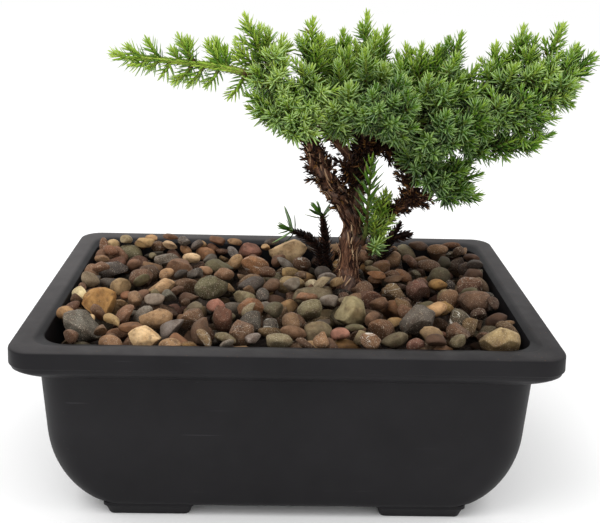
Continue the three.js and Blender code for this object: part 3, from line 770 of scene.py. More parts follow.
def netting(name, middle, tree):
    """Long strands both ways, passing over and under one another."""
    points, edges = [], []
    places = np.linspace(-NET_SIZE / 2, NET_SIZE / 2, NET_STRANDS)
    for way in range(2):
        for i, across in enumerate(places):
            for j, along in enumerate(places):
                x, y = (along, across) if way else (across, along)
                lift = STRAND_LIFT * (1 if (i + j + way) % 2 else -1)
                points.append(Vector(middle) + Vector((x, y, lift)) * MM)
                if j:
                    edges.append((len(points) - 2, len(points) - 1))
    seed = mesh_of(name, points, edges=edges)
    mesh = grow(seed, tree, Strand=STRAND * MM, Finish=NET_FINISH)
    piece(f"{name}_weave", mesh, NET_FINISH, [name])


def nets():
    tree = netting_tree()
    for name in ("drainage_mesh_left", "drainage_mesh_right"):
        low, high = (Vector(corner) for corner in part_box(name))
        netting(name, (low + high) / 2, tree)


def cad_copy(node):
    """A merged copy of a CAD node's mesh."""
    source = frame["nodes"][node]
    shape = bmesh.new()
    shape.from_mesh(source.data)
    shape.transform(source.matrix_world)
    bmesh.ops.remove_doubles(shape, verts=shape.verts, dist=0.01 * MM)
    mesh = bpy.data.meshes.new(f"{node}_copy")
    shape.to_mesh(mesh)
    shape.free()
    return mesh


def soil():
    """The fill under the pebbles, crumbly all over, and always inside its own CAD solid."""
    remesh = ("REMESH", {"mode": "VOXEL", "voxel_size": SOIL_CELL * MM})
    mesh = settled(scratch(cad_copy("soil"), remesh))
    normals = [vertex.normal.copy() for vertex in mesh.vertices]
    for vertex, normal in zip(mesh.vertices, normals):
        lump = noise.fractal(vertex.co * (0.22 / MM), 0.7, 2.1, 3)
        vertex.co -= normal * (SOIL_SINK + SOIL_LUMP * min(max(lump, -1), 1)) * MM
    mesh.shade_smooth()
    piece("soil_mix", mesh, SOIL_FINISH, ["soil"])


nets()
soil()

# ------------------------------------------------------------------ pebbles

STONES = {
    "slate": ["#6a6664", "#55504e", "#7a7470"],
    "ochre": ["#b08c58", "#c09a63", "#a07c4c"],
    "tan": ["#a08465", "#94785a", "#b0956f"],
    "cream": ["#cdb896", "#c2aa86", "#d8c8ab"],
    "rust": ["#856048", "#8c674a", "#765441"],
    "umber": ["#7d604c", "#6d5342", "#8a6c56"],
    "olive": ["#79715c", "#6b654f", "#8a826a"],
    "rose": ["#8f675a", "#835e52", "#9a7263"],
}
BED_MIX = {"umber": 9, "olive": 4, "rust": 3, "tan": 6, "slate": 4, "ochre": 1, "cream": 2, "rose": 1}
WARMTH = (1.0, 0.93, 0.81)  # a film of brown dust on every stone
BED_HALF = (POT_SIZE.x / 2 - END_OVERHANG - WALL - 0.3, POT_SIZE.y / 2 - SIDE_OVERHANG - WALL - 0.3)
BED_FLOOR = -15.4  # the soil's surface, from the rim's level
CELL = 0.5  # the packing grid
WALL_CELLS = 16  # cells of solid wall kept round the grid, so that pebbles can touch it
FAR = 99  # farther than anything in the bed
SETTLING = 0.25  # how far a pebble sinks between those under it
STEM_SPOTS = [(27, 19, 6.2), (16, 36, 1.8), (20, 37, 2.0), (43, 48, 2.0)]  # x, y, radius of each stem
# Layers of pebbles: how many, the shortest and longest half length, the ceiling, how many spots are tried
# for each, the farthest from the wall, and the layer's front.
UNDER_LAYER = (150, 4.4, 6.2, -5.5, 30, FAR, -FAR)
UPPER_LAYERS = [
    (150, 5.0, 7.2, 2.6, 24, FAR, -FAR),
    (110, 3.8, 5.6, 3.4, 6, FAR, -FAR),
    (90, 3.6, 5.4, 3.0, 12, 8, -FAR),
    (110, 3.6, 5.6, 4.6, 14, 10, 15),
    (60, 2.6, 3.6, 0.0, 40, FAR, -FAR),
]
STONE_FORMS = 14
ROUGHEN = 0.42  # how far a small pebble is lumpy, as a share of its least half size
COLOUR_DRIFT = 500  # each stone's patterns start somewhere within this many millimetres


class Bed:
    """Pebbles dropped one by one on a height map, each where it can lie lowest."""

    def __init__(self, seed):
        self.dice = np.random.default_rng(seed)
        self.nx, self.ny = (int(2 * half / CELL) + 2 * WALL_CELLS for half in BED_HALF)
        self.height = np.full((self.nx, self.ny), BED_FLOOR)
        x = (np.arange(self.nx) + 0.5 - WALL_CELLS) * CELL - BED_HALF[0]
        y = (np.arange(self.ny) + 0.5 - WALL_CELLS) * CELL - BED_HALF[1]
        self.x, self.y = np.meshgrid(x, y, indexing="ij")
        corner = WALL_CORNER - WALL
        past_x = np.maximum(abs(self.x) - BED_HALF[0] + corner, 0)
        past_y = np.maximum(abs(self.y) - BED_HALF[1] + corner, 0)
        over = np.hypot(past_x, past_y)
        self.height[over > corner] = FAR
        self.to_wall = corner - over
        for sx, sy, radius in STEM_SPOTS:
            self.height[np.hypot(self.x - sx, self.y - sy) < radius] = FAR
        self.laid = []

    @staticmethod
    def shape(radii, turn):
        """Lower and upper surface of a turned ellipsoid over the cells that it covers."""
        rotation = np.array(Euler(turn).to_matrix())
        form = rotation @ np.diag(1 / np.square(radii)) @ rotation.T
        span = int(math.ceil(max(radii) / CELL))
        steps = np.arange(-span, span + 1) * CELL
        dx, dy = np.meshgrid(steps, steps, indexing="ij")
        b = form[0, 2] * dx + form[1, 2] * dy
        c = form[0, 0] * dx**2 + 2 * form[0, 1] * dx * dy + form[1, 1] * dy**2 - 1
        inside = b * b - form[2, 2] * c
        root = np.sqrt(np.maximum(inside, 0))
        covered = inside > 0
        low = np.where(covered, (-b - root) / form[2, 2], FAR)
        high = np.where(covered, (-b + root) / form[2, 2], -FAR)
        return span, low, high

    def drop(self, radii, turn, ceiling, tries, allowed):
        """Lays one pebble if a spot on the cells allowed is found where its top stays under the ceiling."""
        span, low, high = self.shape(radii, turn)
        inner = self.height[span:-span, span:-span]
        cells = np.argwhere((inner < ceiling - min(radii)) & allowed[span:-span, span:-span])
        if len(cells) == 0:
            return
        best = (FAR, 0, 0)
        for i, j in cells[self.dice.integers(0, len(cells), tries)]:
            window = self.height[i : i + 2 * span + 1, j : j + 2 * span + 1]
            rest = np.max(np.where(low < FAR, window - low, -FAR))
            if rest < best[0]:
                best = (rest, i, j)
        rest, i, j = best
        if rest + high.max() > ceiling:
            return
        window = self.height[i : i + 2 * span + 1, j : j + 2 * span + 1]
        np.maximum(window, rest + high, out=window)
        centre = (self.x[i + span, 0], self.y[0, j + span], rest - SETTLING)
        self.laid.append((centre, radii, turn))

    def keep_clear(self, centre, half):
        """Marks the room of a large pebble, given by its middle and its half sizes."""
        inside = 1 - ((self.x - centre[0]) / half[0]) ** 2 - ((self.y - centre[1]) / half[1]) ** 2
        top = centre[2] + half[2] * np.sqrt(np.maximum(inside, 0))
        self.height = np.where(inside > 0, np.maximum(self.height, top), self.height)

    def layer(self, count, low, high, ceiling, tries, edge, front):
        """Many pebbles, the larger ones first, within edge of the wall and behind front."""
        allowed = (self.to_wall < edge) & (self.y > front)
        lengths = np.sort(self.dice.uniform(low, high, count))[::-1]
        for length in lengths:
            width = length * self.dice.uniform(0.56, 0.88)
            radii = (length, width, width * self.dice.uniform(0.58, 0.92))
            turn = (*self.dice.normal(0, 0.42, 2), self.dice.uniform(0, math.pi))
            self.drop(radii, turn, ceiling, tries, allowed)


def chipped(points, dice, cuts):
    """Points of a stone whose bulges are worn flat by a number of random planes."""
    for _ in range(cuts):
        facing = dice.normal(size=3)
        facing /= np.linalg.norm(facing)
        reach = points @ facing
        over = np.maximum(reach - reach.max() * dice.uniform(0.5, 0.88), 0)
        points = points - np.outer(over * 0.9, facing)
    return points


def stone_shapes(amount):
    """A collection of unit stones to choose from, each worn in its own way."""
    dice = np.random.default_rng(17)
    shelf = bpy.data.collections.new("stone_shapes")
    for number in range(amount):
        shape = bmesh.new()
        bmesh.ops.create_icosphere(shape, subdivisions=3, radius=1.0)
        points = chipped(np.array([vertex.co for vertex in shape.verts]), dice, 4 + number % 5)
        points /= abs(points).max(axis=0)
        for vertex, point in zip(shape.verts, points):
            vertex.co = Vector(point)
        mesh = bpy.data.meshes.new("stone_shape")
        shape.to_mesh(mesh)
        shape.free()
        shelf.objects.link(bpy.data.objects.new("stone_shape", mesh))
    return shelf


def pebble_tree():
    """Rough pebbles on points that carry their half sizes, turn and colour."""
    g = Growth("pebbles", {"Shapes": "Collection", "Roughness": "Float", "Finish": "Material"})
    spots = g.node("GeometryNodeMeshToPoints", None, {"Mesh": g.given("Geometry")})
    sockets = {"Collection": g.given("Shapes"), "Separate Children": True, "Reset Children": True}
    shapes = g.node("GeometryNodeCollectionInfo", None, sockets)
    turn = g.node("FunctionNodeEulerToRotation", None, {0: g.named("turn", "FLOAT_VECTOR")})
    half = g.named("half", "FLOAT_VECTOR")
    sockets = {"Points": spots, "Instance": shapes, "Pick Instance": True, "Rotation": turn, "Scale": half}
    laid = g.node("GeometryNodeInstanceOnPoints", None, sockets)
    real = g.node("GeometryNodeRealizeInstances", None, {"Geometry": laid})
    where = g.vectors("SCALE", {0: g.node("GeometryNodeInputPosition"), 3: 1 / MM})
    where = g.vectors("ADD", {0: where, 1: g.named("drift", "FLOAT_VECTOR")})
    broad = g.node("ShaderNodeTexNoise", None, {"Vector": where, "Scale": 0.16, "Detail": 1.0})
    fine = g.node("ShaderNodeTexNoise", None, {"Vector": where, "Scale": 0.55, "Detail": 2.0})
    lump = (broad - 0.55) * 0.8 + (fine - 0.5) * 0.4
    depth = lump * g.named("girth") * g.given("Roughness")
    offset = g.vectors("SCALE", {0: g.node("GeometryNodeInputNormal"), 3: depth})
    shaped = g.node("GeometryNodeSetPosition", None, {"Geometry": real, "Offset": offset})
    return g.done(shaped, g.given("Finish"))


def pebble_colours(dice, kinds):
    """A colour and an amount of flecks for each pebble of the kinds named."""
    colours, flecks = [], []
    for kind in kinds:
        own = np.array(paint(STONES[kind][dice.integers(0, 3)])[:3])
        shade = dice.uniform(0.64, 1.76) * np.array(WARMTH)
        tint = dice.uniform(0.95, 1.05, 3)
        colours.append((*np.minimum(own * shade * tint, 1), 1.0))
        flecks.append(dice.uniform(0, 1))
    return colours, flecks


def small_pebbles(bed, tree):
    kinds = np.repeat(list(BED_MIX), list(BED_MIX.values()))
    dice = np.random.default_rng(41)
    laid = bed.laid
    seed = mesh_of("bed", [at(*centre) for centre, _, _ in laid])
    colours, flecks = pebble_colours(dice, dice.choice(kinds, len(laid)))
    tag(seed, "half", "FLOAT_VECTOR", [np.array(radii) * MM for _, radii, _ in laid])
    tag(seed, "turn", "FLOAT_VECTOR", [turn for _, _, turn in laid])
    tag(seed, "girth", "FLOAT", [min(radii) * MM for _, radii, _ in laid])
    tag(seed, "drift", "FLOAT_VECTOR", dice.uniform(0, COLOUR_DRIFT, (len(laid), 3)))
    tag(seed, "stone", "FLOAT_COLOR", colours)
    tag(seed, "fleck", "FLOAT", flecks)
    shapes = stone_shapes(STONE_FORMS)
    mesh = grow(seed, tree, Shapes=shapes, Roughness=ROUGHEN, Finish=PEBBLE_FINISH)
    for shape in list(shapes.objects):
        bpy.data.objects.remove(shape)
    bpy.data.collections.remove(shapes)
    piece("gravel_pebbles", mesh, PEBBLE_FINISH, ["gravel_bed"])


def large_pebbles():
    """Each large pebble of the CAD, made smooth and rough, in one piece for each kind of stone."""
    groups = {}
    for node, slot in SLOTS.items():
        if slot.startswith("stone_"):
            groups.setdefault(slot, []).append(node)
    dice = np.random.default_rng(12)
    for slot, nodes in groups.items():
        whole = bmesh.new()
        colours, flecks, drifts = [], [], []
        for node in nodes:
            mesh = settled(scratch(cad_copy(node), ("SUBSURF", {"levels": 3, "render_levels": 3})))
            low, high = (np.array(corner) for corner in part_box(node))
            middle, half = (low + high) / 2, (high - low) / 2
            drift = dice.uniform(0, COLOUR_DRIFT, 3)
            (colour,), (fleck,) = pebble_colours(dice, [slot.removeprefix("stone_")])
            points = chipped(np.array([vertex.co for vertex in mesh.vertices]) - middle, dice, 7)
            points *= half / abs(points).max(axis=0)
            for vertex, offset in zip(mesh.vertices, points):
                where = Vector(offset / MM) + Vector(drift)
                lump = noise.noise(where * 0.13) * 0.10 + noise.noise(where * 0.38) * 0.05
                chip = noise.noise(where * 0.9) * 0.018
                vertex.co = Vector(middle + offset * (0.98 + lump + chip))
            whole.from_mesh(mesh)
            colours += [colour] * len(mesh.vertices)
            flecks += [fleck] * len(mesh.vertices)
            drifts += [drift] * len(mesh.vertices)
        mesh = bpy.data.meshes.new(slot)
        whole.to_mesh(mesh)
        whole.free()
        tag(mesh, "stone", "FLOAT_COLOR", colours)
        tag(mesh, "fleck", "FLOAT", flecks)
        tag(mesh, "drift", "FLOAT_VECTOR", drifts)
        mesh.shade_smooth()
        piece(f"pebbles_{slot.removeprefix('stone_')}", mesh, PEBBLE_FINISH, nodes)


def pebbles():
    bed = Bed(7)
    bed.layer(*UNDER_LAYER)
    for node in frame["nodes"]:
        if node.startswith("pebble_"):
            low, high = (Vector(corner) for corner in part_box(node))
            bed.keep_clear(((low + high) / 2 - RIM) / MM, (high - low) / 2 / MM)
    for layer in UPPER_LAYERS:
        bed.layer(*layer)
    small_pebbles(bed, pebble_tree())
    large_pebbles()


pebbles()

# ------------------------------------------------------------------ wood

# Routes and radii of the trunk and the limbs, as the CAD has them.
TRUNK = ([(27, 19, -30), (27, 19, -12), (27, 19, -4), (27, 19, 8), (28, 19, 19), (29, 19, 30)],
         [7.4, 6.4, 5.6, 4.5, 4.3, 4.4])
LIMBS = [
    ([(29, 19, 22), (29, 19, 32), (30, 20, 45), (32, 21, 55), (35, 22, 66)], [3.9, 3.4, 3.0, 3.2, 2.4]),
    ([(29, 19, 22), (23, 15, 34), (17, 10, 42), (11, 6, 53), (8, 4, 62), (3, 2, 72), (-5, 0, 82)],
     [4.0, 3.9, 3.6, 3.3, 2.9, 2.4, 1.9]),
    ([(28, 19, 14), (37, 17, 23), (45, 14, 30), (53, 10, 36), (60, 8, 39)], [2.8, 2.3, 2.0, 1.8, 1.4]),
    ([(52, 10, 35), (51, 9, 43), (49, 9, 52)], [1.5, 1.3, 1.1]),
    ([(33, 21, 54), (43, 18, 60), (56, 13, 68), (72, 8, 74), (88, 5, 79), (100, 3, 83)],
     [2.6, 2.4, 2.1, 1.8, 1.5, 1.2]),
    ([(34, 21, 60), (38, 32, 66), (44, 42, 71)], [2.2, 1.7, 1.3]),
    ([(30, 20, 48), (20, 29, 58), (9, 36, 68)], [2.2, 1.7, 1.3]),
]
# Surface roots that run out from the foot of the trunk.
ROOTS = [
    ([(27, 17, -2), (25, 12, -7), (21, 6, -13)], [3.2, 2.6, 1.6]),
    ([(29, 19, -3), (35, 17, -8), (42, 15, -14)], [3.0, 2.2, 1.4]),
    ([(25, 20, -3), (19, 22, -8), (13, 25, -14)], [3.0, 2.2, 1.4]),
]
WOOD_STEP = 0.8
WOOD_VOXEL = 0.42


def limb_lines():
    """Every limb as a fine line of points with its radii and its own direction."""
    lines = []
    for route, radii in [TRUNK, *LIMBS, *ROOTS]:
        path = smooth_path([at(*p) for p in route], WOOD_STEP * MM)
        share = np.linspace(0, 1, len(path))
        girth = np.interp(share, np.linspace(0, 1, len(radii)), radii) * MM
        lines.append((path, girth))
    return lines


def raw_wood(lines):
    skin = Skin()
    for path, girth in lines:
        lumpy = [r * (1 + 0.16 * noise.noise(Vector(p) * (0.16 / MM))) for p, r in zip(path, girth)]
        skin.tube(path, lumpy, 16)
    remesh = ("REMESH", {"mode": "VOXEL", "voxel_size": WOOD_VOXEL * MM})
    smooth = ("SMOOTH", {"factor": 0.5, "iterations": 4})
    return settled(scratch(skin.mesh("raw_wood"), remesh, smooth))


def follow_limbs(mesh, lines):
    """For each point: its place on the nearest limb in millimetres, and the limb's heading and radius."""
    tree = KDTree(sum(len(path) for path, _ in lines))
    facts = []
    for limb, (path, girth) in enumerate(lines):
        ahead = headings(path)
        across, up = side_frames(path)
        for k, point in enumerate(path):
            tree.insert(point, len(facts))
            facts.append((point, ahead[k], across[k], up[k], girth[k], k * WOOD_STEP + 200 * limb))
    tree.balance()
    places, directions, radii = [], [], []
    for vertex in mesh.vertices:
        near = tree.find_n(vertex.co, 6)
        _, index, _ = min(near, key=lambda hit: hit[2] / facts[hit[1]][4])
        point, ahead, across, up, girth, run = facts[index]
        off = np.array(vertex.co) - point
        run += off.dot(ahead) / MM
        places.append((off.dot(across) / MM, off.dot(up) / MM, run))
        directions.append(ahead)
        radii.append(girth)
    return np.array(places), np.array(directions), np.array(radii)


def strand_height(place, radius):
    """How far the bark stands out: ridges along the limb, cut into plates."""
    ridge = noise.noise(Vector((place[0] * 0.62, place[1] * 0.62, place[2] * 0.07)))
    split = noise.noise(Vector((place[0] * 1.5, place[1] * 1.5, place[2] * 0.16 + 40)))
    plate = noise.noise(Vector((place[0] * 0.3, place[1] * 0.3, place[2] * 0.32 + 90)))
    sharp = 1 - abs(ridge) * 2.4
    return (0.34 * sharp + 0.30 * split + 0.34 * plate) * (0.35 + radius / MM * 0.16)


def wood():
    lines = limb_lines()
    mesh = raw_wood(lines)
    places, directions, radii = follow_limbs(mesh, lines)
    normals = [vertex.normal.copy() for vertex in mesh.vertices]
    for vertex, normal, place, radius in zip(mesh.vertices, normals, places, radii):
        vertex.co += normal * strand_height(place, radius) * MM
    tag(mesh, "fibre", "FLOAT_VECTOR", places)
    tag(mesh, "heading", "FLOAT_VECTOR", directions)
    mesh.shade_smooth()
    strip = bark_strip()
    strips = grow(mesh.copy(), strip_tree(), Strip=strip, Density=1.7e5, Seed=3, Finish=FIBRE_FINISH)
    bpy.data.objects.remove(strip)
    piece("bark_strips", strips, FIBRE_FINISH)
    piece("trunk_and_limbs_bark", mesh, BARK_FINISH, ["trunk_and_limbs"])


def bark_strip():
    """A thin curling strip, one unit long, that lifts off at both ends."""
    skin = Skin()
    rings = []
    for t in np.linspace(0, 1, 6):
        lift = 0.10 * (2 * t - 1) ** 2 * (1.4 if t > 0.5 else 0.7)
        width = 0.055 * math.sin(math.pi * (0.12 + 0.8 * t)) + 0.008
        corners = ((lift, width), (lift + 0.018, 0), (lift, -width), (lift - 0.006, 0))
        rings.append([Vector((x, y, t - 0.5)) for x, y in corners])
    skin.loft(rings)
    obj = scratch(skin.mesh("bark_strip"))
    obj.hide_render = True
    return obj


def strip_tree():
    """Strips of loose bark scattered over the wood, each along its limb."""
    g = Growth("loose_bark", {"Strip": "Object", "Density": "Float", "Seed": "Int", "Finish": "Material"})
    place = g.node("ShaderNodeSeparateXYZ", None, {0: g.node("GeometryNodeInputPosition")}, out=2)
    above = g.node("FunctionNodeCompare", {"operation": "GREATER_THAN"}, {0: place, 1: RIM.z - 3 * MM})
    amount = {name: g.given(name) for name in ("Density", "Seed")}
    sockets = {"Mesh": g.given("Geometry"), "Selection": above, **amount}
    spots = g.node("GeometryNodeDistributePointsOnFaces", None, sockets)
    out = g.node("FunctionNodeAlignRotationToVector", {"axis": "X"}, {"Vector": spots.also("Normal")})
    settings = {"axis": "Z", "pivot_axis": "X"}
    sockets = {"Rotation": out, "Vector": g.named("heading", "FLOAT_VECTOR")}
    laid = g.node("FunctionNodeAlignRotationToVector", settings, sockets)
    laid = g.turned(laid, (1, 0, 0), g.random(-0.35, 0.35, 5))
    strip = g.node("GeometryNodeObjectInfo", None, {"Object": g.given("Strip")}, out="Geometry")
    length = g.random(3.0 * MM, 8.5 * MM, 6)
    sockets = {"Points": spots, "Instance": strip, "Rotation": laid, "Scale": length}
    strips = g.node("GeometryNodeInstanceOnPoints", None, sockets)
    strips = g.store(strips, "chance", g.random(0.0, 1.0, 7), domain="INSTANCE")
    return g.done(strips, g.given("Finish"))


wood()

# ------------------------------------------------------------------ foliage

NEEDLE_WIDTH = 0.115  # half width, for a needle one unit long
GOLDEN = math.pi * (3 - math.sqrt(5))
SHOOT_STEP = 1.5  # between the points of a shoot


def needle():
    """An awl-shaped needle one unit long: a flat inner face, a keel outside, a curve towards the shoot."""
    levels = [(0.0, 0.55), (0.4, 1.0), (0.8, 0.62)]
    skin = Skin()
    rings = []
    for z, share in levels:
        bend = -0.09 * z * z
        wide = NEEDLE_WIDTH * share
        rings.append([Vector((bend + 0.055 * share, 0, z)), Vector((bend, wide, z)),
                      Vector((bend - 0.012 * share, 0, z)), Vector((bend, -wide, z))])
    around = ((1, 0, 0), (0, 1, 0), (-1, 0, 0), (0, -1, 0))
    rings.append([Vector((-0.09, 0, 1.0)) + Vector(p) * 0.004 for p in around])
    skin.loft(rings)
    mesh = skin.mesh("needle")
    tag(mesh, "blade", "FLOAT", [z for z, _ in levels for _ in range(4)] + [1.0] * 4)
    tag(mesh, "inner", "FLOAT", [0, 0, 1, 0] * (len(levels) + 1))
    chart = mesh.uv_layers.new(name="OFBake")
    for polygon in mesh.polygons:
        corners = list(polygon.vertices)
        is_cap = len({corner // 4 for corner in corners}) == 1
        wraps = any(corner % 4 == 3 for corner in corners)
        for loop, corner in zip(polygon.loop_indices, corners):
            column, row = corner % 4, corner // 4
            u = (4 if wraps and column == 0 else column) / 4
            z = mesh.vertices[corner].co.z
            if is_cap:
                u, z = 0.25 + 0.25 * (column in (1, 2)), (0.0 if row == 0 else 1.0)
            chart.data[loop].uv = (0.06 + 0.88 * u, 0.06 + 0.88 * z)
    obj = scratch(mesh)
    obj.hide_render = True
    return obj


def whorl_tree():
    """Whorls of needles along lines whose points carry a heading and the facts of Shoots."""
    inputs = {"Needle": "Object", "Spacing": "Float", "Whorl": "Int", "Seed": "Int", "Finish": "Material"}
    g = Growth("needle_whorls", inputs)
    line = g.node("GeometryNodeMeshToCurve", None, {"Mesh": g.given("Geometry")})
    sockets = {"Curve": line, "Length": g.given("Spacing")}
    even = g.node("GeometryNodeResampleCurve", {"mode": "LENGTH"}, sockets)
    spots = g.node("GeometryNodeCurveToPoints", {"mode": "EVALUATED"}, {"Curve": even})
    spots = g.store(spots, "whorl", g.node("GeometryNodeInputIndex"))
    along = g.named("along")
    extra = g.node("FunctionNodeCompare", {"operation": "GREATER_THAN"}, {0: along, 1: 0.93})
    amount = g.node("ShaderNodeMath", {"operation": "MULTIPLY_ADD"}, {0: extra, 1: 4.0, 2: g.given("Whorl")})
    sockets = {"Geometry": spots, "Amount": amount}
    copies = g.node("GeometryNodeDuplicateElements", {"domain": "POINT"}, sockets)
    each = copies.also("Duplicate Index")
    spin = each * (2 * math.pi / 3) + g.named("whorl") * (math.pi / 3) + g.random(-0.16, 0.16, 1)
    spin = spin + each.maths("FLOOR", each / 3) * 0.9
    lean = g.named("lean") * g.random(0.88, 1.1, 2)
    lean = lean * (1 - each.maths("FLOOR", each / 3) * 0.55)
    sockets = {"Vector": g.named("heading", "FLOAT_VECTOR")}
    facing = g.node("FunctionNodeAlignRotationToVector", {"axis": "Z"}, sockets)
    rotation = g.turned(g.turned(facing, (0, 0, 1), spin), (0, 1, 0), lean)
    length = g.named("reach") * g.random(0.86, 1.12, 3)
    wide = length * g.named("stout")
    size = g.node("ShaderNodeCombineXYZ", None, {0: wide, 1: wide, 2: length})
    shape = g.node("GeometryNodeObjectInfo", None, {"Object": g.given("Needle")}, out="Geometry")
    sockets = {"Points": copies, "Instance": shape, "Rotation": rotation, "Scale": size}
    needles = g.node("GeometryNodeInstanceOnPoints", None, sockets)
    needles = g.store(needles, "chance", g.random(0.0, 1.0, 4), domain="INSTANCE")
    needles = g.store(needles, "cell", g.node("GeometryNodeInputIndex"), domain="INSTANCE")
    settings = {"component": "INSTANCES"}
    count = g.node("GeometryNodeAttributeDomainSize", settings, {"Geometry": needles}, out="Instance Count")
    side = count.maths("CEIL", count.maths("SQRT", count))
    real = g.node("GeometryNodeRealizeInstances", None, {"Geometry": needles})
    cell = g.named("cell")
    column = cell.maths("MODULO", cell, side)
    row = cell.maths("FLOOR", cell / side)
    corner = g.node("ShaderNodeCombineXYZ", None, {0: column, 1: row})
    chart = g.vectors("ADD", {0: g.named("OFBake", "FLOAT_VECTOR"), 1: corner})
    chart = g.vectors("SCALE", {0: chart, 3: 1 / side})
    charted = g.store(real, "OFBake", chart, "FLOAT2", "CORNER")
    return g.done(charted, g.given("Finish"))


def stem_tree():
    """Round stems along the same lines, each point with its own girth."""
    g = Growth("stems", {"Sides": "Int", "Finish": "Material"})
    line = g.node("GeometryNodeMeshToCurve", None, {"Mesh": g.given("Geometry")})
    ring = g.node("GeometryNodeCurvePrimitiveCircle", None, {"Resolution": g.given("Sides"), "Radius": 1.0})
    sockets = {"Curve": line, "Profile Curve": ring, "Scale": g.named("girth"), "Fill Caps": True}
    stems = g.node("GeometryNodeCurveToMesh", None, sockets)
    return g.done(stems, g.given("Finish"))


class Shoots:
    """Lines of shoots with what the needles and stems need to know at each point."""

    FACTS = ("along", "tone", "life", "reach", "lean", "girth", "stout")

    def __init__(self):
        self.points, self.edges, self.ahead = [], [], []
        self.facts = {name: [] for name in self.FACTS}

    def add(self, path, tone, reach=6.3, life=1.0, lean=(1.02, 0.7), girth=(0.7, 0.35), stout=0.88):
        """One shoot along a path in metres. Tone and life may be a pair: at the foot and at the tip."""
        start = len(self.points)
        share = np.linspace(0, 1, len(path))
        self.points.extend(path)
        self.ahead.extend(headings(path))
        self.edges.extend((start + k, start + k + 1) for k in range(len(path) - 1))
        spread = {"along": share, "tone": blend(tone, share), "life": blend(life, np.minimum(share * 2.2, 1))}
        spread["reach"] = reach * MM * (0.82 + 0.22 * np.sin(math.pi * share * 0.95) - 0.22 * share**4)
        spread["stout"] = np.full(len(path), stout)
        spread["lean"] = lean[0] + (lean[1] - lean[0]) * share**2
        spread["girth"] = blend(girth, share) * MM
        for name, values in spread.items():
            self.facts[name].extend(values)

    def mesh(self, name):
        mesh = mesh_of(name, self.points, edges=self.edges)
        tag(mesh, "heading", "FLOAT_VECTOR", self.ahead)
        for key, values in self.facts.items():
            tag(mesh, key, "FLOAT", values)
        return mesh


def blend(value, share):
    """A number, or a pair spread from the first to the second over the shares."""
    first, last = value if isinstance(value, tuple) else (value, value)
    return first + (last - first) * share


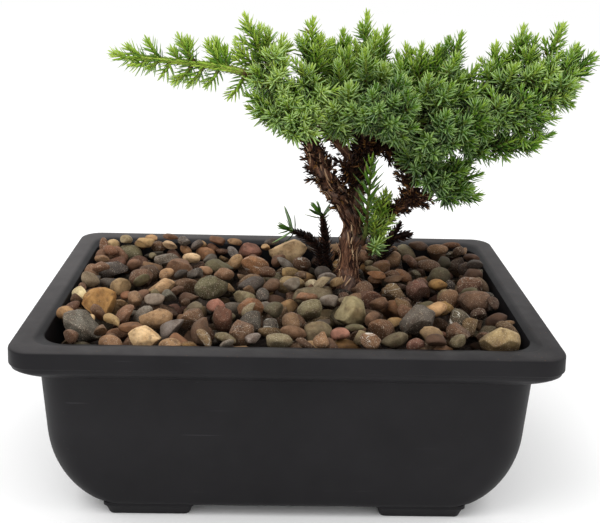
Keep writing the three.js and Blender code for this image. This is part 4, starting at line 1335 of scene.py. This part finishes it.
# Each spray is a twig and the shoots that leave it: [how far along the twig, the shoot's tip].
SPRAYS = {
    "long_branch": ([
        (-5, 0, 84), (-15, -1, 88.7), (-27, -2, 91.8), (-41, -3, 93.6), (-52, -5, 94.7),
        (-60, -6, 95.5),
    ], [
        (0.97, (-72.5, -6, 97)), (0.95, (-67, -4, 100)), (0.85, (-58.5, -4, 103.2)),
        (0.6, (-46, -3, 104.8)), (0.66, (-41.5, -1, 104.5)), (0.42, (-35, 0, 103)),
        (0.45, (-31, 2, 104)), (0.4, (-27.5, 3, 100.5)), (0.93, (-64.5, -9, 92)),
        (0.8, (-51.5, -9, 87.8)), (0.62, (-47.5, -10, 85.5)), (0.55, (-41.5, -9, 85)),
        (0.45, (-34.5, -9, 84.5)), (0.25, (-25.5, -9, 79.8)), (0.88, (-57, -10, 91)),
        (0.7, (-49, -3, 100)),
    ]),
    "upper_left": ([(-5, 1, 82), (-8, 2, 88), (-9, 3, 94)], [
        (0.8, (-20, 4, 113)), (0.95, (-11, 8, 107.5)), (0.7, (-3, 7, 105)), (0.4, (-8, -9, 102)),
        (0.2, (-6, -14, 92)), (0.6, (-24, 0, 102)), (0.3, (-17, -9, 93)), (0.1, (-3, -13, 84)),
        (0.05, (3, -14, 80)), (0.3, (-13, -8, 87)), (0.5, (-2, -7, 97)), (0.2, (-20, -3, 88)),
    ]),
    "left_shelf": ([(4, 2, 69), (0, -1, 72), (-6, -3, 74)], [
        (0.9, (-19, -2, 76)), (0.6, (-9, -8, 70)), (0.8, (-16, -8, 83)), (0.3, (-2, -15, 68.5)),
        (0.4, (-1, -17, 75)), (0.1, (6, -17, 70)), (0.7, (-10, -14, 76)), (0.5, (-12, 6, 71)),
        (0.2, (-3, -14, 81)), (0.6, (-11, -9, 80)), (0.0, (5, -16, 75)), (0.3, (-4, -10, 67.5)),
    ]),
    "upright_left": ([(5, 3, 75), (7, 4, 80), (7, 5, 86)], [
        (0.95, (8, 8, 112)), (0.5, (6, -17, 79)), (0.7, (13, -14, 85)), (0.4, (-2, -6, 88)),
        (0.8, (14, 10, 99)), (0.6, (3, -6, 95)), (0.9, (5, 6, 106)), (0.9, (12, 6, 105)),
        (0.2, (9, -15, 78)),
    ]),
    "crown_left": ([(27, 17, 64), (22, 13, 72), (20, 13, 81)], [
        (0.95, (16, 17, 103)), (0.85, (21, 20, 107)), (0.6, (18, -2, 96)), (0.4, (22, -12, 88)),
        (0.2, (13, -10, 73)), (0.5, (11, 8, 88)), (0.7, (23, 5, 101)), (0.3, (15, -14, 80)),
        (0.8, (13, 12, 98)), (0.4, (24, 8, 93)),
    ]),
    "crown_peak": ([(35, 21, 67), (33, 20, 75), (32, 19, 84)], [
        (0.98, (31, 24, 114)), (0.8, (35, 24, 106)), (0.6, (40, 23, 108)), (0.5, (28, -8, 101)),
        (0.4, (37, 1, 95)), (0.7, (25, 13, 103)), (0.9, (34, 12, 107)),
    ]),
    "crown_front": ([(36, 17, 67), (36, 8, 72), (37, -2, 77)], [
        (0.6, (30, -20, 86)), (0.8, (40, -21, 84)), (0.9, (48, -22, 81)), (0.5, (40, -25, 75)),
        (0.3, (27, -17, 78)), (0.7, (33, -24, 81)), (0.4, (45, -15, 67)), (0.95, (43, -11, 92)),
        (0.1, (33, -18, 80)), (0.5, (38, -22, 74)), (0.2, (22, -16, 80)), (0.6, (45, -20, 87)),
        (0.3, (49, -18, 72)),
    ]),
    "crown_right": ([(46, 16, 66), (53, 11, 73), (62, 8, 79)], [
        (0.2, (47, 16, 102)), (0.4, (53, 11, 103)), (0.7, (60, 12, 102)), (0.95, (69, 10, 107.5)),
        (0.5, (54, -9, 92)), (0.7, (63, -12, 89)), (0.98, (76, 3, 95)), (0.3, (43, 3, 96)),
        (0.85, (66, 0, 100)), (0.6, (62, -9, 83)), (0.8, (71, -7, 87)), (0.15, (48, -8, 84)),
        (0.98, (79, -3, 87)), (0.2, (44, -6, 90)),
    ]),
    "front_right": ([(52, 11, 64), (58, 4, 66), (65, -2, 70)], [
        (0.5, (60, -21, 79)), (0.8, (70, -17, 76)), (0.95, (77, -13, 82)), (0.3, (54, -19, 68)),
        (0.6, (66, -15, 65)), (0.9, (82, -9, 71)), (0.1, (52, -10, 59)), (0.2, (57, -17, 61)),
        (0.7, (74, -12, 66)), (0.6, (62, -20, 72)), (0.8, (78, -14, 76)),
    ]),
    "right_upper": ([(82, 9, 80), (90, 8, 85), (99, 6, 89)], [
        (0.1, (83, 9, 104)), (0.5, (94, 10, 111)), (0.8, (99, 8, 107)), (0.97, (109, 5, 112)),
        (0.3, (87, -9, 96)), (0.6, (97, -11, 96)), (0.9, (106, -6, 101)), (0.0, (80, 3, 97)),
        (0.2, (86, -5, 90)), (0.7, (101, -9, 90)), (0.4, (90, 14, 103)), (0.9, (104, -11, 95)),
        (0.6, (97, 2, 103)),
    ]),
    "right_end": ([(97, 1, 81), (103, 0, 85), (109, -1, 89)], [
        (0.97, (121.5, 1, 101)), (0.8, (117.5, -2, 95)), (0.5, (115.5, -6, 88)), (0.3, (114, -2, 80)),
        (0.9, (112, -4, 105)), (0.6, (110, -15, 91)), (0.7, (118, 8, 92)), (0.2, (105, -12, 84)),
        (0.4, (112, -11, 95)), (0.1, (104, -6, 97)), (0.5, (109, -13, 85)),
    ]),
    "right_mid": ([(76, 5, 72), (84, 0, 74), (93, -3, 76)], [
        (0.4, (91, -14, 81)), (0.8, (101, -13, 78)), (0.95, (108, -7, 75)), (0.2, (82, -15, 84)),
        (0.6, (96, -9, 69)), (0.3, (86, -12, 72)), (0.1, (77, -13, 79)), (0.5, (94, -15, 86)),
        (0.7, (100, -13, 84)), (0.0, (78, -10, 71)),
    ]),
    "right_low": ([(66, 6, 61), (74, 1, 62), (84, -3, 64)], [
        (0.95, (107.5, -4, 68.5)), (0.5, (92, -9, 67)), (0.6, (91, 6, 64)), (0.3, (80, -9, 61)),
        (0.3, (83, 5, 66)), (0.8, (101, -9, 66)), (0.2, (78, -7, 66)), (0.7, (96, 2, 63)),
    ]),
    "lower_right": ([(52, 9, 53), (57, 7, 48), (63, 7, 43)], [
        (0.97, (81, 0, 41)), (0.8, (81, 2, 50)), (0.4, (77, 0, 58)), (0.7, (64, -8, 46)),
        (0.4, (61, -6, 57)), (0.95, (69, -7, 39)), (0.1, (66, 4, 59)), (0.2, (50, -8, 54)),
        (0.5, (70, 12, 52)), (0.2, (60, -9, 62)), (0.3, (73, -6, 53)), (0.9, (76, -6, 45)),
        (0.6, (58, -8, 50)), (0.8, (74, 8, 45)), (0.0, (43, 3, 58)), (0.1, (46, -5, 61)),
        (0.0, (52, 1, 62)),
    ]),
    "trunk_sprig_tall": ([(32, 10, 16), (33, 8, 22), (33, 7, 27)], [
        (0.9, (34, 6, 55)),
    ]),
    "trunk_sprig_short": ([(35, 12, 10), (37, 11, 16), (38, 11, 22)], [
        (0.95, (41, 12, 41)), (0.7, (44, 13, 30)), (0.1, (40, 5, 20)), (0.5, (37, 7, 30)),
        (0.3, (42, 8, 23)), (0.8, (39, 14, 36)),
    ]),
}
# The far side of the crown repeats the near side through a plane along the limbs.
FAR_SIDE = {
    "back_left": (16, (2, 3, -3), ("left_shelf", "crown_left")),
    "back_centre": (17, (3, 5, -2), ("crown_front",)),
    "back_right": (12, (-4, 3, -3), ("crown_right", "front_right")),
    "back_low": (9, (3, 5, -2), ("right_mid",)),
}
# How bright each spray is: yellow-green where it reaches the light, blue-green inside, and darker for the
# sprays under and inside the crown as painted shade.
TONES = {
    "long_branch": 0.80, "upper_left": 0.76, "left_shelf": 0.62, "upright_left": 0.70, "crown_left": 0.62,
    "crown_peak": 0.66, "crown_front": 0.43, "crown_right": 0.60, "front_right": 0.42, "right_upper": 0.66,
    "right_end": 0.62, "right_mid": 0.45, "right_low": 0.42, "lower_right": 0.36, "trunk_sprig_tall": 0.52,
    "trunk_sprig_short": 0.74, "back_left": 0.5, "back_centre": 0.45, "back_right": 0.52, "back_low": 0.42,
}


def all_sprays():
    """Every spray by name, as a list of (twig, shoots) pairs."""
    sprays = {name: [spray] for name, spray in SPRAYS.items()}
    for name, (plane, shift, sources) in FAR_SIDE.items():
        def across(p):
            return p[0] + shift[0], 2 * plane - p[1] + shift[1], p[2] + shift[2]
        sprays[name] = []
        for source in sources:
            twig, shoots = SPRAYS[source]
            far_shoots = [(along, across(tip)) for along, tip in shoots]
            sprays[name].append(([across(p) for p in twig], far_shoots))
    return sprays


def sagging(start, tip, sag):
    """A shoot's path: it leaves low and rises to its tip."""
    middle = start.lerp(tip, 0.5)
    middle.z -= sag * (tip - start).length
    return smooth_path([start, middle, tip], SHOOT_STEP * MM)


def side_direction(ahead, turn, spread, lift):
    """A direction that leaves another by an angle, turned round it, and lifted towards the light."""
    ahead = Vector(ahead).normalized()
    side = ahead.orthogonal().normalized()
    side.rotate(Matrix.Rotation(turn, 3, ahead))
    direction = ahead * math.cos(spread) + side * math.sin(spread)
    direction.z += lift
    return direction.normalized()


TIP_REACH = 3.3  # how far the needles stand out past the end of a shoot


def short_of(start, tip, amount):
    """A point that stops an amount of millimetres before the tip."""
    length = (tip - start).length
    return start.lerp(tip, max(0.4, 1 - amount * MM / length))


def grow_spray(shoots, twig, mains, tone, dice, style):
    """A twig, its main shoots, and the short side shoots that fill them out."""
    path = smooth_path([at(*p) for p in twig], SHOOT_STEP * MM)
    if style == "scaly":
        pressed = {"reach": 4.8, "life": (0.8, 1.0), "lean": (0.6, 0.48), "girth": (1.9, 1.0), "stout": 1.1}
        shoots.add(path, (tone, tone * 1.08), **pressed)
    else:
        shoots.add(path, (tone * 0.4, tone * 0.7), reach=4.4, life=(0.1, 0.8), girth=(1.3, 0.8))
    # Tones rise from the foot to the tip of the twig and of each shoot: the dark feet are painted shade
    # inside the spray, the yellow-green tips new growth.
    for number, (along, tip) in enumerate(mains):
        start = Vector(path[min(int(round(along * (len(path) - 1))), len(path) - 1)])
        main = sagging(start, short_of(start, at(*tip), TIP_REACH), 0.1)
        shade = tone + dice.uniform(-0.12, 0.10)
        if style == "feather":
            shoots.add(main, (shade - 0.1, shade + 0.1), reach=9.4, lean=(0.95, 0.66), girth=(0.9, 0.4))
            continue
        if style == "scaly":
            shoots.add(main, (shade - 0.3, shade + 0.18), reach=6.0, life=(0.9, 1.0), girth=(0.9, 0.5))
            continue
        shoots.add(main, (shade - 0.44, shade + 0.26), life=(0.15, 1.0), girth=(0.8, 0.4))
        length = np.linalg.norm(main[-1] - main[0]) / MM
        count = int(length / 4.6)
        for k in range(count):
            share = 0.2 + 0.62 * (k + dice.uniform(0.1, 0.9)) / count
            index = int(share * (len(main) - 1))
            ahead = headings(main)[index]
            turn = number * 1.9 + k * GOLDEN + dice.uniform(-0.4, 0.4)
            direction = side_direction(ahead, turn, dice.uniform(0.6, 0.9), 0.22)
            reach = dice.uniform(5.0, 9.0) * (1.1 - 0.45 * share)
            foot = Vector(main[index])
            side = sagging(foot, foot + direction * reach * MM, 0.06)
            shoots.add(side, (shade - 0.3, shade + 0.2), reach=5.8, life=(0.6, 1.0), girth=(0.5, 0.3))


STYLES = {"long_branch": "scaly", "trunk_sprig_tall": "feather"}
WHORL_GAPS = {"feather": 2.1, "scaly": 0.92, "plain": 1.2}


def needled(shoots, name, awl, whorls, gap, seed):
    """The needles of a set of shoots as one mesh, with whorls of three a gap apart."""
    values = {"Needle": awl, "Spacing": gap * MM, "Whorl": 3, "Seed": seed, "Finish": NEEDLE_FINISH}
    return grow(shoots.mesh(name), whorls, **values)


def foliage():
    awl = needle()
    whorls = whorl_tree()
    stems = Shoots()
    dice = np.random.default_rng(23)
    for name, parts in all_sprays().items():
        shoots = Shoots()
        style = STYLES.get(name, "plain")
        for twig, mains in parts:
            grow_spray(shoots, twig, mains, TONES[name], dice, style)
        node = f"foliage_{name}"
        mesh = needled(shoots, name, awl, whorls, WHORL_GAPS[style], 1)
        piece(f"needles_{name}", mesh, NEEDLE_FINISH, [node])
        join_shoots(stems, shoots)
    low_shoots(awl, whorls, stems)
    dead_cladding(awl, whorls, stems)
    mesh = grow(stems.mesh("stems"), stem_tree(), Sides=5, Finish=STEM_FINISH)
    piece("young_stems", mesh, STEM_FINISH)
    bpy.data.objects.remove(awl)


def join_shoots(whole, part):
    """Adds one set of lines to another."""
    start = len(whole.points)
    whole.points.extend(part.points)
    whole.ahead.extend(part.ahead)
    whole.edges.extend((a + start, b + start) for a, b in part.edges)
    for name, values in part.facts.items():
        whole.facts[name].extend(values)


# Low shoots behind the trunk: route, length of its live end, and its dead side tips (along, tip).
LOW_SHOOTS = {
    "low_shoot_left": (
        [(16, 36, -10), (15, 36, 3), (10.5, 35, 10), (3, 33, 14.5), (1, 32.5, 15.5)], 2.8, [],
    ),
    "low_shoot_middle": (
        [(20, 37, -10), (18, 36, 4), (16.8, 36, 14), (15.5, 36, 21), (14.8, 36, 22.5)], 2.4, [],
    ),
    "low_shoot_right": (
        [(43, 48, -10), (46, 48, 0), (49.5, 48, 8), (52.5, 48, 14)], 0.0,
        [(0.7, (57, 47, 10)), (0.6, (45, 46, 6))],
    ),
}
SCALES = {"reach": 4.6, "life": 0.0, "lean": (1.0, 0.85), "stout": 2.0}  # dead scale needles on a shoot
TUFT = {"reach": 11.5, "life": (0.8, 1.0), "lean": (1.2, 0.8), "stout": 0.9}  # live needles at its end
SCALE_STEP = 0.6  # between the points of a low shoot
SCALE_GAP = 0.85


def low_shoots(awl, whorls, stems):
    """Old shoots clad in dead scale needles, two of them with a live tuft at the end."""
    for name, (route, live, tips) in LOW_SHOOTS.items():
        shoots = Shoots()
        path = smooth_path([at(*p) for p in route], SCALE_STEP * MM)
        split = len(path) - int(live / SCALE_STEP)
        shoots.add(path[:split], 0.0, girth=(1.0, 0.7), **SCALES)
        if live:
            shoots.add(path[split - 1 :], (0.25, 0.45), **TUFT)
        for along, tip in tips:
            foot = Vector(path[int(along * (len(path) - 1))])
            shoots.add(sagging(foot, at(*tip), 0.0), 0.0, girth=(0.6, 0.3), **SCALES)
        mesh = needled(shoots, name, awl, whorls, SCALE_GAP, 2)
        piece(f"{name}_scales", mesh, NEEDLE_FINISH, [name])
        join_shoots(stems, shoots)


# Old twigs that only carry dead spurs, in the shade under the crown.
OLD_TWIGS = [
    ([(33, 20, 56), (28, 12, 64), (25, 8, 72)], [1.4, 1.0, 0.7]),
    ([(33, 20, 56), (36, 10, 65), (38, 6, 72)], [1.4, 1.0, 0.7]),
    ([(32, 20, 54), (31, 8, 62), (31, 3, 70)], [1.4, 1.0, 0.7]),
    ([(40, 18, 60), (43, 10, 57), (47, 4, 54)], [1.3, 1.0, 0.7]),
    ([(46, 17, 61), (51, 9, 60), (55, 3, 56)], [1.3, 1.0, 0.7]),
    ([(30, 20, 42), (26, 13, 47), (23, 9, 53)], [1.3, 1.0, 0.7]),
]
SPUR_GAP = 1.1
SPUR_LENGTH = 1.6  # of the shortest; the longest may grow by SPUR_GROWTH
SPUR_GROWTH = 4.2
# Dead spurs on each limb and old twig: how many, and from where along it.
SPURS = [
    (60, 0.3), (100, 0.15), (60, 0.3), (30, 0.0), (54, 0.0), (16, 0.2), (20, 0.2),
    (30, 0.1), (30, 0.1), (30, 0.1), (34, 0.1), (34, 0.1), (30, 0.1),
]


def dead_cladding(awl, whorls, stems):
    """Short dead spurs, dense with dry scale needles, that make the limbs dark and ragged."""
    dice = np.random.default_rng(31)
    shoots = Shoots()
    for (route, radii), (amount, first) in zip([*LIMBS, *OLD_TWIGS], SPURS):
        path = smooth_path([at(*p) for p in route], WOOD_STEP * MM)
        girth = np.interp(np.linspace(0, 1, len(path)), np.linspace(0, 1, len(radii)), radii) * MM
        ahead = headings(path)
        for k in range(amount):
            share = first + (0.97 - first) * (k + dice.uniform(0, 1)) / amount
            index = int(share * (len(path) - 1))
            along = Vector(ahead[index])
            turn = k * GOLDEN + dice.uniform(-0.5, 0.5)
            direction = side_direction(along, turn, dice.uniform(0.7, 1.2), 0.1)
            out = direction - along * direction.dot(along)
            foot = Vector(path[index]) + out.normalized() * girth[index] * 0.7
            longest = SPUR_LENGTH + SPUR_GROWTH * dice.uniform(0, 1)
            spur = sagging(foot, foot + direction * dice.uniform(SPUR_LENGTH, longest) * MM, 0.0)
            shoots.add(spur, 0.25, reach=3.7, life=0.0, lean=(0.85, 0.55), girth=(0.9, 0.4), stout=1.25)
    mesh = needled(shoots, "spurs", awl, whorls, SPUR_GAP, 4)
    piece("dead_spurs", mesh, NEEDLE_FINISH)
    for route, radii in OLD_TWIGS:
        path = smooth_path([at(*p) for p in route], SHOOT_STEP * MM)
        shoots.add(path, 0.1, life=0.0, girth=(radii[0], radii[-1]))
    join_shoots(stems, shoots)


foliage()

# ------------------------------------------------------------------ floor and light


def floor():
    mesh = mesh_of("floor", [(x, y, 0) for x, y in ((-3, -3), (3, -3), (3, 3), (-3, 3))], [(0, 1, 2, 3)])
    f = Finish("pale_floor")
    mesh.materials.append(f.done(Base_Color=paint("#ffffff"), Roughness=1.0, Specular_IOR_Level=0.0))
    obj = bpy.data.objects.new("floor", mesh)
    bpy.context.scene.collection.objects.link(obj)


def area_light(name, place, aim, size, power):
    data = bpy.data.lights.new(name, "AREA")
    data.shape = "RECTANGLE"
    data.size, data.size_y = size
    data.energy = power
    light = bpy.data.objects.new(name, data)
    bpy.context.scene.collection.objects.link(light)
    light.location = place
    light.rotation_euler = (Vector(aim) - Vector(place)).to_track_quat("-Z", "Y").to_euler()


def lights():
    world = bpy.data.worlds.new("studio")
    world.use_nodes = True
    world.node_tree.nodes["Background"].inputs["Color"].default_value = (1, 1, 1, 1)
    world.node_tree.nodes["Background"].inputs["Strength"].default_value = 1.0
    bpy.context.scene.world = world
    aim = at(0, 0, 20)
    area_light("over_left", at(-450, -350, 800), aim, (0.6, 0.6), 3.5)
    area_light("over_right", at(550, -150, 700), aim, (0.6, 0.6), 1.5)
    bpy.context.scene.view_settings.view_transform = "Standard"


floor()
lights()
